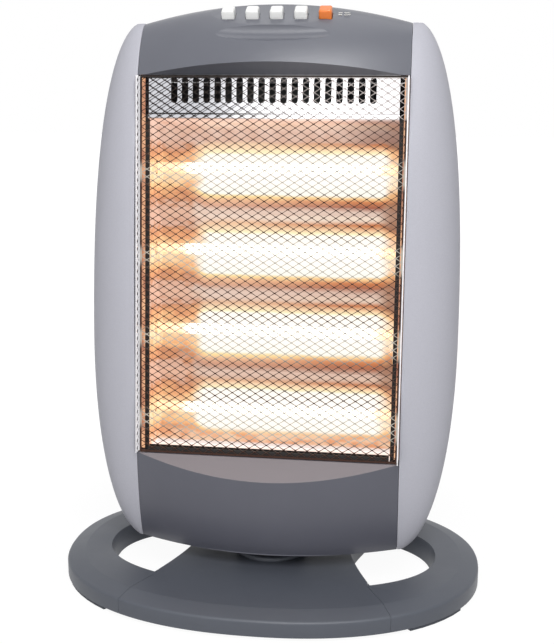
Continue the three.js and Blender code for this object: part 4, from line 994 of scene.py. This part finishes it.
def ring_base():
    for word, side in (("left", -1), ("right", 1)):
        arc = base_shell(f"{word}_arc_shell")
        keep = raised("arc_keeper", [arc_outline(side, SEAM_GAP / 2)], -FAR, FAR)
        carve(arc, keep, operation="INTERSECT")
        settle(arc, "base_plastic", f"base_arc_{word}", place=LEVEL, body="base")
    centre = base_shell("centre_shell")
    for side in (-1, 1):
        carve(centre, raised("arc_cutter", [arc_outline(side, -SEAM_GAP / 2)], -FAR, FAR))
    plinth = turned("plinth", [
        (0, BASE_TOP - BASE_WALL), (PLINTH_RADIUS, BASE_TOP - BASE_WALL), (PLINTH_RADIUS, BASE_TOP + 0.6),
        (PLINTH_RADIUS - 0.4, 24.4), (PLINTH_RADIUS - 1, 25.4), (PLINTH_RADIUS - 2, PLINTH_TOP), (0, PLINTH_TOP),
    ])
    carve(centre, plinth, operation="UNION")
    bore = turned("bore", [(0, -20), (11.3, -20), (11.3, 60), (0, 60)], 48)
    carve(centre, bore)
    settle(centre, "base_plastic", "base_centre", place=LEVEL, body="base")


def swivel_ring():
    profile = [
        (23, 26.3), (33, 26.3), (33, 36.6), (32.6, 37.3), (32, 37.7), (24, 37.7), (23.4, 37.3), (23, 36.6),
    ]
    piece = turned("swivel_collar", profile)
    settle(piece, "black_plastic", "swivel_ring", place=LEVEL, body="base")


def pivot_tube():
    profile = [
        (7.5, 19), (11, 19), (11, 26.3), (19.6, 26.3), (20, 26.7), (20, 28.4), (19.6, 28.8),
        (11, 28.8), (11, 52.3), (10.5, 52.8), (8, 52.8), (7.5, 52.3),
    ]
    piece = turned("pivot_pipe", profile, 64)
    settle(piece, "zinc_steel", "pivot_tube", place=LEVEL, body="base")


# --- reflector, lamps and guard
def reflector():
    sheet = 1.2
    troughs = []
    for lamp in reversed(LAMP_HEIGHTS):
        for i in range(25):
            share = 0.48 - 0.96 * i / 24
            depth = CAVITY_BACK_Y - (CAVITY_BACK_Y - RIDGE_Y) * (abs(share) / 0.48) ** 3
            troughs.append((depth, lamp + share * LAMP_PITCH))
    lip_y, lip_z = STRIP_Y - LIP_REACH, STRIP_BOTTOM - LIP_HEIGHT
    face = [
        (STRIP_Y, WINDOW_TOP + 5), (STRIP_Y, STRIP_BOTTOM + 0.8), (STRIP_Y - 0.5, STRIP_BOTTOM + 0.2),
        (lip_y + 0.8, STRIP_BOTTOM), (lip_y + 0.2, STRIP_BOTTOM - 0.5), (lip_y, STRIP_BOTTOM - 1.4),
        (lip_y, lip_z + 0.6), (lip_y + 0.6, lip_z), (STRIP_Y, lip_z),
    ]
    foot = [(STRIP_Y + 3, WINDOW_BOTTOM + 1.5)]
    back = [(y + sheet, z) for y, z in reversed(troughs)]
    outline = face + troughs + foot + [(STRIP_Y + 3, WINDOW_BOTTOM + 0.4), (RIDGE_Y + sheet, WINDOW_BOTTOM + 0.4)]
    outline += back + [(STRIP_Y + sheet, lip_z + sheet + 0.6), (STRIP_Y + sheet, WINDOW_TOP + 5)]
    form = along_x("reflector_sheet", [outline], -CAVITY_HALF_WIDTH, CAVITY_HALF_WIDTH)
    low = STRIP_BOTTOM + 9.5
    slots = [rounded(SLOT_PITCH * i - 3, SLOT_PITCH * i + 3, low, low + 23, 2.9, 5) for i in range(-9, 10)]
    carve(form, along_y("slot_cutters", slots, STRIP_Y - 1, STRIP_Y + 3))
    settle(form, "polished_aluminium", "reflector", crease=24)


def side_linings():
    """Polished sheet inside the lamp plates, with a round clearance for each lamp."""
    for word, side in (("left", -1), ("right", 1)):
        outline = rectangle(-37.0, 19.0, LINING_BOTTOM, LINING_TOP)
        x = side * (CAVITY_HALF_WIDTH + 0.15)
        lining = along_x(f"{word}_side_lining", [outline], x - 0.15, x + 0.15)
        for height in LAMP_HEIGHTS:
            hole = [(0, x - 5), (6.4, x - 5), (6.4, x + 5), (0, x + 5)]
            carve(lining, turned("lining_hole", hole, 32, "X", (0, LAMP_Y, height)))
        settle(lining, "polished_aluminium")


def lamps():
    half = [(5.25, 122), (4.6, 126), (3.4, 129), (1.2, 129), (1.2, 126), (3.75, 122)]
    tube = [(radius, -x) for radius, x in reversed(half)] + half
    for number, height in zip((4, 3, 2, 1), LAMP_HEIGHTS):
        piece = turned(f"lamp_glass_{number}", tube, 40, "X", (0, LAMP_Y, height))
        settle(piece, "quartz", f"quartz_tube_{number}")


# --- geometry trees for what repeats
class Growth:
    """A geometry tree with named inputs, the material among them."""

    def __init__(self, name, sizes):
        self.tree = bpy.data.node_groups.new(name, "GeometryNodeTree")
        for label, kind in {"Geometry": "Geometry", **sizes, "Material": "Material"}.items():
            self.tree.interface.new_socket(label, in_out="INPUT", socket_type=f"NodeSocket{kind}")
        self.tree.interface.new_socket("Geometry", in_out="OUTPUT", socket_type="NodeSocketGeometry")
        self.given = add_node(self.tree, "NodeGroupInput").outputs

    def add(self, kind, inputs=None, **settings):
        return add_node(self.tree, kind, inputs, **settings).outputs[0]

    def math(self, operation, first, second):
        return self.add("ShaderNodeMath", {0: first, 1: second}, operation=operation)

    def join(self, parts):
        whole = add_node(self.tree, "GeometryNodeJoinGeometry")
        for part in parts:
            self.tree.links.new(part, whole.inputs[0])
        return whole.outputs[0]

    def finish(self, geometry):
        real = self.add("GeometryNodeRealizeInstances", {0: geometry})
        painted = self.add("GeometryNodeSetMaterial", {"Geometry": real, "Material": self.given["Material"]})
        add_node(self.tree, "NodeGroupOutput", {0: painted})
        return self.tree


def grown(name, tree, sizes, made=None):
    """A plain mesh made by the tree from these sizes."""
    piece = as_it_is(name, bmesh.new() if made is None else made)
    grow = piece.modifiers.new("grow", "NODES")
    grow.node_group = tree
    for item in tree.interface.items_tree:
        if item.in_out == "INPUT" and item.name in sizes:
            grow[item.identifier] = sizes[item.name]
    return plain(piece)


def diamond_net_tree():
    """Diamond loops on a grid. Set a cell apart both ways, the loops share no strand and leave none out."""
    net = Growth("diamond_net", {
        "Columns": "Int", "Rows": "Int", "Cell Width": "Float", "Cell Height": "Float",
        "Strand Width": "Float", "Strand Thickness": "Float",
    })
    columns, rows, width, height, strand_width, strand_thickness = list(net.given)[1:7]
    half_width, half_height = net.math("DIVIDE", width, 2), net.math("DIVIDE", height, 2)
    grid = net.add("GeometryNodeMeshGrid", {
        "Size X": net.math("MULTIPLY", width, net.math("SUBTRACT", columns, 1)),
        "Size Y": net.math("MULTIPLY", height, net.math("SUBTRACT", rows, 1)),
        "Vertices X": columns, "Vertices Y": rows,
    })
    loop = net.add("GeometryNodeCurvePrimitiveQuadrilateral", {
        "Width": width, "Bottom Height": half_height, "Top Height": half_height,
    }, mode="KITE")
    strand = net.add("GeometryNodeCurvePrimitiveQuadrilateral", {
        "Width": strand_width, "Height": strand_thickness,
    }, mode="RECTANGLE")
    bars = net.add("GeometryNodeCurveToMesh", {"Curve": loop, "Profile Curve": strand})
    cells = net.add("GeometryNodeInstanceOnPoints", {"Points": grid, "Instance": bars})
    # The strands are wider where they meet: a knot at each corner of a loop.
    knot_size = net.add("ShaderNodeCombineXYZ", {
        0: net.math("MULTIPLY", strand_width, 2.6), 1: net.math("MULTIPLY", strand_width, 1.5), 2: strand_thickness,
    })
    knot = net.add("GeometryNodeMeshCube", {"Size": knot_size})
    corners = []
    for step in ({0: half_width}, {1: half_height}):
        shift = net.add("ShaderNodeCombineXYZ", step)
        corners.append(net.add("GeometryNodeTransform", {"Geometry": grid, "Translation": shift}))
    knots = net.add("GeometryNodeInstanceOnPoints", {"Points": net.join(corners), "Instance": knot})
    return net.finish(net.join([cells, knots]))


def guard():
    """The net's face, its two folded sides and the hems all round, as one piece."""
    net = diamond_net_tree()
    cell_width, cell_height = 10.8, 6.9
    low, high = 84.2, 429.6
    side_front, side_back = -57.0, -38.6
    face_x, side_x = 119.4, 121.2
    columns = round(2 * face_x / cell_width)
    rows = round((high - low) / cell_height)
    sizes = {
        "Cell Width": 2 * face_x / columns, "Cell Height": (high - low) / rows,
        "Strand Width": 0.78, "Strand Thickness": 0.8, "Material": FINISHES["guard_steel"],
    }
    upright = Matrix.Translation((0, GUARD_Y, (low + high) / 2)) @ Matrix.Rotation(math.pi / 2, 4, "X")
    face = grown("guard_face", net, {**sizes, "Columns": columns, "Rows": rows})
    face.data.transform(upright)
    parts = [face]
    for side in (-1, 1):
        wing = grown("guard_wing", net, {
            **sizes, "Columns": 2, "Rows": rows, "Cell Width": (side_back - side_front) / 2,
        })
        turn = Matrix.Translation((side * side_x, (side_front + side_back) / 2, (low + high) / 2))
        wing.data.transform(turn @ Matrix.Rotation(math.pi / 2, 4, "Z") @ Matrix.Rotation(math.pi / 2, 4, "X"))
        parts.append(wing)
    hems = [
        along_x("hem", [rectangle(GUARD_Y - 0.5, GUARD_Y + 0.5, *ends)], -face_x, face_x)
        for ends in ((low - 1, low + 0.6), (high - 0.6, high + 1))
    ]
    for side in (-1, 1):
        for across_hem, y0, y1 in (
            ((face_x - 0.6, side_x + 0.3), GUARD_Y - 0.6, GUARD_Y + 0.6),
            ((side_x - 0.4, side_x + 0.4), side_front - 1, side_front + 0.2),
        ):
            x0, x1 = sorted(side * x for x in across_hem)
            hems.append(raised("hem", [rectangle(x0, x1, y0, y1)], low, high))
    settle(joined("guard_mesh", parts + hems), "guard_steel", "guard_net", crease=20)


def joined(name, parts):
    """Several objects as one mesh."""
    made = bmesh.new()
    for part in parts:
        made.from_mesh(part.data)
        bpy.data.objects.remove(part)
    return as_it_is(name, made)


def coil_tree():
    """A wound wire along Z."""
    coil = Growth("wound_wire", {"Turns": "Float", "Radius": "Float", "Length": "Float", "Wire Radius": "Float"})
    turns, radius, length, wire_radius = list(coil.given)[1:5]
    winding = coil.add("GeometryNodeCurveSpiral", {
        "Resolution": 12, "Rotations": turns, "Start Radius": radius, "End Radius": radius, "Height": length,
    })
    section = coil.add("GeometryNodeCurvePrimitiveCircle", {"Resolution": 5, "Radius": wire_radius})
    return coil.finish(coil.add("GeometryNodeCurveToMesh", {
        "Curve": winding, "Profile Curve": section, "Fill Caps": True,
    }))


def filaments():
    coil = coil_tree()
    length = 192.0
    for number, height in zip((4, 3, 2, 1), LAMP_HEIGHTS):
        wire = grown(f"filament_coil_{number}", coil, {
            "Turns": 110.0, "Radius": 1.1, "Length": length, "Wire Radius": 0.28,
            "Material": FINISHES["filament_wire"],
        })
        wire.data.transform(
            Matrix.Translation((-length / 2, LAMP_Y, height)) @ Matrix.Rotation(math.pi / 2, 4, "Y")
        )
        settle(wire, "filament_wire", f"filament_{number}", crease=60)


def screw_tree():
    """Copies of one cross-recessed screw head on the points, turned to face along the axis."""
    screw = Growth("screw_heads", {"Radius": "Float", "Height": "Float", "Axis": "Vector"})
    points, radius, height, axis = list(screw.given)[:4]
    ball = screw.add("GeometryNodeMeshUVSphere", {"Segments": 20, "Rings": 10, "Radius": radius})
    squash = screw.add("ShaderNodeCombineXYZ", {0: 1.0, 1: 1.0, 2: height})
    cap = screw.add("GeometryNodeTransform", {"Geometry": ball, "Scale": squash})
    crossed = add_node(screw.tree, "GeometryNodeMeshBoolean", {"Mesh 1": cap}, operation="DIFFERENCE")
    for size in ((3.4, 0.8, 4.0), (0.8, 3.4, 4.0)):
        bar = screw.add("GeometryNodeMeshCube", {"Size": size})
        recess = screw.add("GeometryNodeTransform", {"Geometry": bar, "Translation": (0, 0, 2.4)})
        screw.tree.links.new(recess, crossed.inputs["Mesh 2"])
    aim = screw.add("FunctionNodeAlignRotationToVector", {"Vector": axis}, axis="Z")
    return screw.finish(screw.add("GeometryNodeInstanceOnPoints", {
        "Points": points, "Instance": crossed.outputs[0], "Rotation": aim,
    }))


def screws():
    """Rear cover screws, one over each boss."""
    seats = bmesh.new()
    for x in (-BOSS_X, BOSS_X):
        for z in BOSS_HEIGHTS:
            seats.verts.new((x, rear_cover_y(x, z) - 0.2, z))
    heads = grown("rear_screws", screw_tree(), {
        "Radius": 2.6, "Height": 0.45, "Axis": (0.0, 1.0, 0.0), "Material": FINISHES["zinc_steel"],
    }, seats)
    settle(heads, "zinc_steel")


# --- buttons and lettering
def buttons():
    for i, x in enumerate(BUTTON_X):
        half_width, half_length = BUTTON_WIDTH / 2, BUTTON_LENGTH / 2
        outline = rounded(-half_width, half_width, -half_length, half_length, 1.3, 5)
        made = bmesh.new()
        loops = []
        levels = [(-3.0, 0.0), (5.6, 0.0), (6.5, 0.16), (7.2, 0.55), (7.62, 1.05), (7.8, 1.7), (7.72, 2.6)]
        for height, inset in levels:
            scale_a, scale_b = 1 - inset / half_width, 1 - inset / half_length
            loops.append([made.verts.new((x + a * scale_a, b * scale_b, height)) for a, b in outline])
        for low, high in zip(loops, loops[1:]):
            band(made, low, high)
        middle = made.verts.new((x, 0, 7.5))
        for k in range(len(outline)):
            made.faces.new((loops[-1][k], loops[-1][(k + 1) % len(outline)], middle))
        made.faces.new(loops[0][::-1])
        cap = object_from(f"button_cap_{i + 1}", made)
        stem = raised("stem", [rounded(x - 2, x + 2, -2, 2, 0.4)], -9, -2.5)
        slot = "orange_button" if i == 4 else "white_button"
        both = joined(f"button_cap_{i + 1}", [cap, stem])
        settle(both, slot, f"button_{i + 1}", place=FACET, body=f"button_body_{i + 1}")


def lettering():
    """Two plain words with a bar before each, beside the orange button, printed on the facet."""
    made, a = [], 62.0
    for word, b in (("ON", 4.4), ("OFF", 0.4)):
        line = bpy.data.curves.new("legend", "FONT")
        line.body, line.size, line.extrude = word, 3.4, 0.08
        text = linked("legend", line)
        bpy.context.view_layer.update()
        mesh = bpy.data.meshes.new_from_object(text.evaluated_get(bpy.context.evaluated_depsgraph_get()))
        bpy.data.objects.remove(text)
        mesh.transform(Matrix.Translation((a, b, 0.1)))
        made.append(linked("legend_print", mesh))
        made.append(raised("legend_bar", [rectangle(a - 5, a - 1.6, b + 0.5, b + 1.7)], 0.05, 0.15))
    settle(joined("button_legend", made), "white_plastic", place=FACET)


def edge_linings():
    """Sheet edges behind the guard's folded sides, bright with painted glow."""
    for word, side in (("left", -1), ("right", 1)):
        outer, fold, inner = side * 122.5, side * 122.1, side * 117.6
        plan = [(outer, -56.5), (fold, -56.5), (fold, -39.2), (inner, -39.2), (inner, -38.7), (outer, -38.7)]
        strip = raised(f"{word}_edge_sheet", [plan], 85.0, 429.0)
        settle(strip, "polished_aluminium", finish=EDGE_LINING, crease=10)


def sill_strip():
    """A dark channel along the sill behind the guard's lower edge: a dark sheet that stands for the shade in the
    gap there.
    """
    outline = [
        (-46.2, 83.2), (-38.4, 83.2), (-38.4, 88.8), (-39.4, 88.8), (-39.4, 84.4),
        (-45.2, 84.4), (-45.2, 88.2), (-46.2, 88.2),
    ]
    piece = along_x("sill_painted_shade_strip", [outline], -113.0, 113.0)
    settle(piece, "dark_steel")


# --- the object
for side_word, side_sign in (("left", -1), ("right", 1)):
    side_panel(side_word, side_sign)
top_cover()
lower_cover()
rear_cover()
handle_cup()
cord_gland()
ring_base()
swivel_ring()
pivot_tube()
reflector()
side_linings()
lamps()
filaments()
guard()
edge_linings()
sill_strip()
screws()
buttons()
lettering()

for subpart in frame["record"]["subparts"]:
    shown = frame["nodes"][subpart["node"]]
    shown.data.materials.clear()
    shown.data.materials.append(FINISHES[subpart["material_slot"]])


# --- floor, light and camera
WHITE = (1, 1, 1, 1)


def rays(nodes, *kinds):
    """One value for each kind of ray, 1 on its hits."""
    return [nodes.node("ShaderNodeLightPath", output=f"Is {kind} Ray") for kind in kinds]


def floor():
    made = bmesh.new()
    reach = 9000
    corners = [(-reach, -reach), (reach, -reach), (reach, reach), (-reach, reach)]
    made.faces.new([made.verts.new((x, y, -0.3)) for x, y in corners])
    ground = object_from("floor", made)
    ground.data.transform(LEVEL)
    finish = Finish("pale_floor")
    x, y, _ = finish.axes()
    finish.wear(Base_Color=(0.6, 0.6, 0.6), Roughness=0.9)
    bright = finish.node("ShaderNodeEmission", {"Color": WHITE, "Strength": 1.1})
    seen, mirrored = rays(finish, "Camera", "Glossy")
    # Near the object the floor keeps its shadow; farther away it is plain white.
    far_away = (x * x + y * y).root().rise(230.0, 620.0)
    share = seen.greater(mirrored) * (0.85 + 0.15 * far_away)
    mixed = finish.node("ShaderNodeMixShader", {0: share, 1: finish.shader.outputs[0], 2: bright})
    finish.tree.links.new(mixed.socket, finish.output.inputs[0])
    ground.data.materials.append(finish.material)


def soft_light(name, place, aim, width, height, power):
    lamp = bpy.data.lights.new(name, "AREA")
    lamp.shape, lamp.size, lamp.size_y, lamp.energy = "RECTANGLE", width, height, power
    holder = linked(name, lamp)
    holder.location = place
    holder.rotation_euler = (Vector(aim) - Vector(place)).to_track_quat("-Z", "Y").to_euler()


def studio():
    world = bpy.data.worlds.new("studio_world")
    sky = Nodes(world)
    seen, mirrored, passed = rays(sky, "Camera", "Glossy", "Transmission")
    ambient, white = [sky.node("ShaderNodeBackground", {"Color": WHITE, "Strength": power}) for power in (0.2, 1.0)]
    mixed = sky.node("ShaderNodeMixShader", {0: seen.greater(mirrored).greater(passed), 1: ambient, 2: white})
    sky.node("ShaderNodeOutputWorld", {0: mixed})
    bpy.context.scene.world = world
    soft_light("key_light", (0.4, -1.9, 1.9), (0, 0, 0.3), 1.3, 1.3, 48)
    soft_light("fill_light", (-0.7, -2.3, 0.9), (0, 0, 0.3), 1.4, 1.4, 6)
    soft_light("top_light", (0.1, 0.3, 2.4), (0, 0, 0.2), 1.6, 1.6, 8)
    bpy.context.scene.view_settings.view_transform = "Standard"


def camera():
    """The photograph's view: 7.88 degrees to the right of the front, 12.41 above it."""
    yaw, pitch, roll = math.radians(7.88), math.radians(12.41), math.radians(0.18)
    distance, target = 1.0155, Vector((0.0044, 0, 0.2477))
    focal_pixels, long_side, sensor = 1082.6, 644, 36.0
    ahead = Vector((-math.sin(yaw) * math.cos(pitch), math.cos(yaw) * math.cos(pitch), -math.sin(pitch)))
    right = Vector((math.cos(yaw), math.sin(yaw), 0))
    up = right.cross(ahead)
    across_view = right * math.cos(roll) + up * math.sin(roll)
    up_view = up * math.cos(roll) - right * math.sin(roll)
    lens = bpy.data.cameras.new("photo_camera")
    lens.sensor_fit, lens.sensor_width = "AUTO", sensor
    lens.lens = focal_pixels / long_side * sensor
    holder = linked("photo_camera", lens)
    turn = Matrix((across_view, up_view, -ahead)).transposed().to_4x4()
    holder.matrix_world = Matrix.Translation(target - ahead * distance) @ turn
    bpy.context.scene.camera = holder


floor()
studio()
camera()
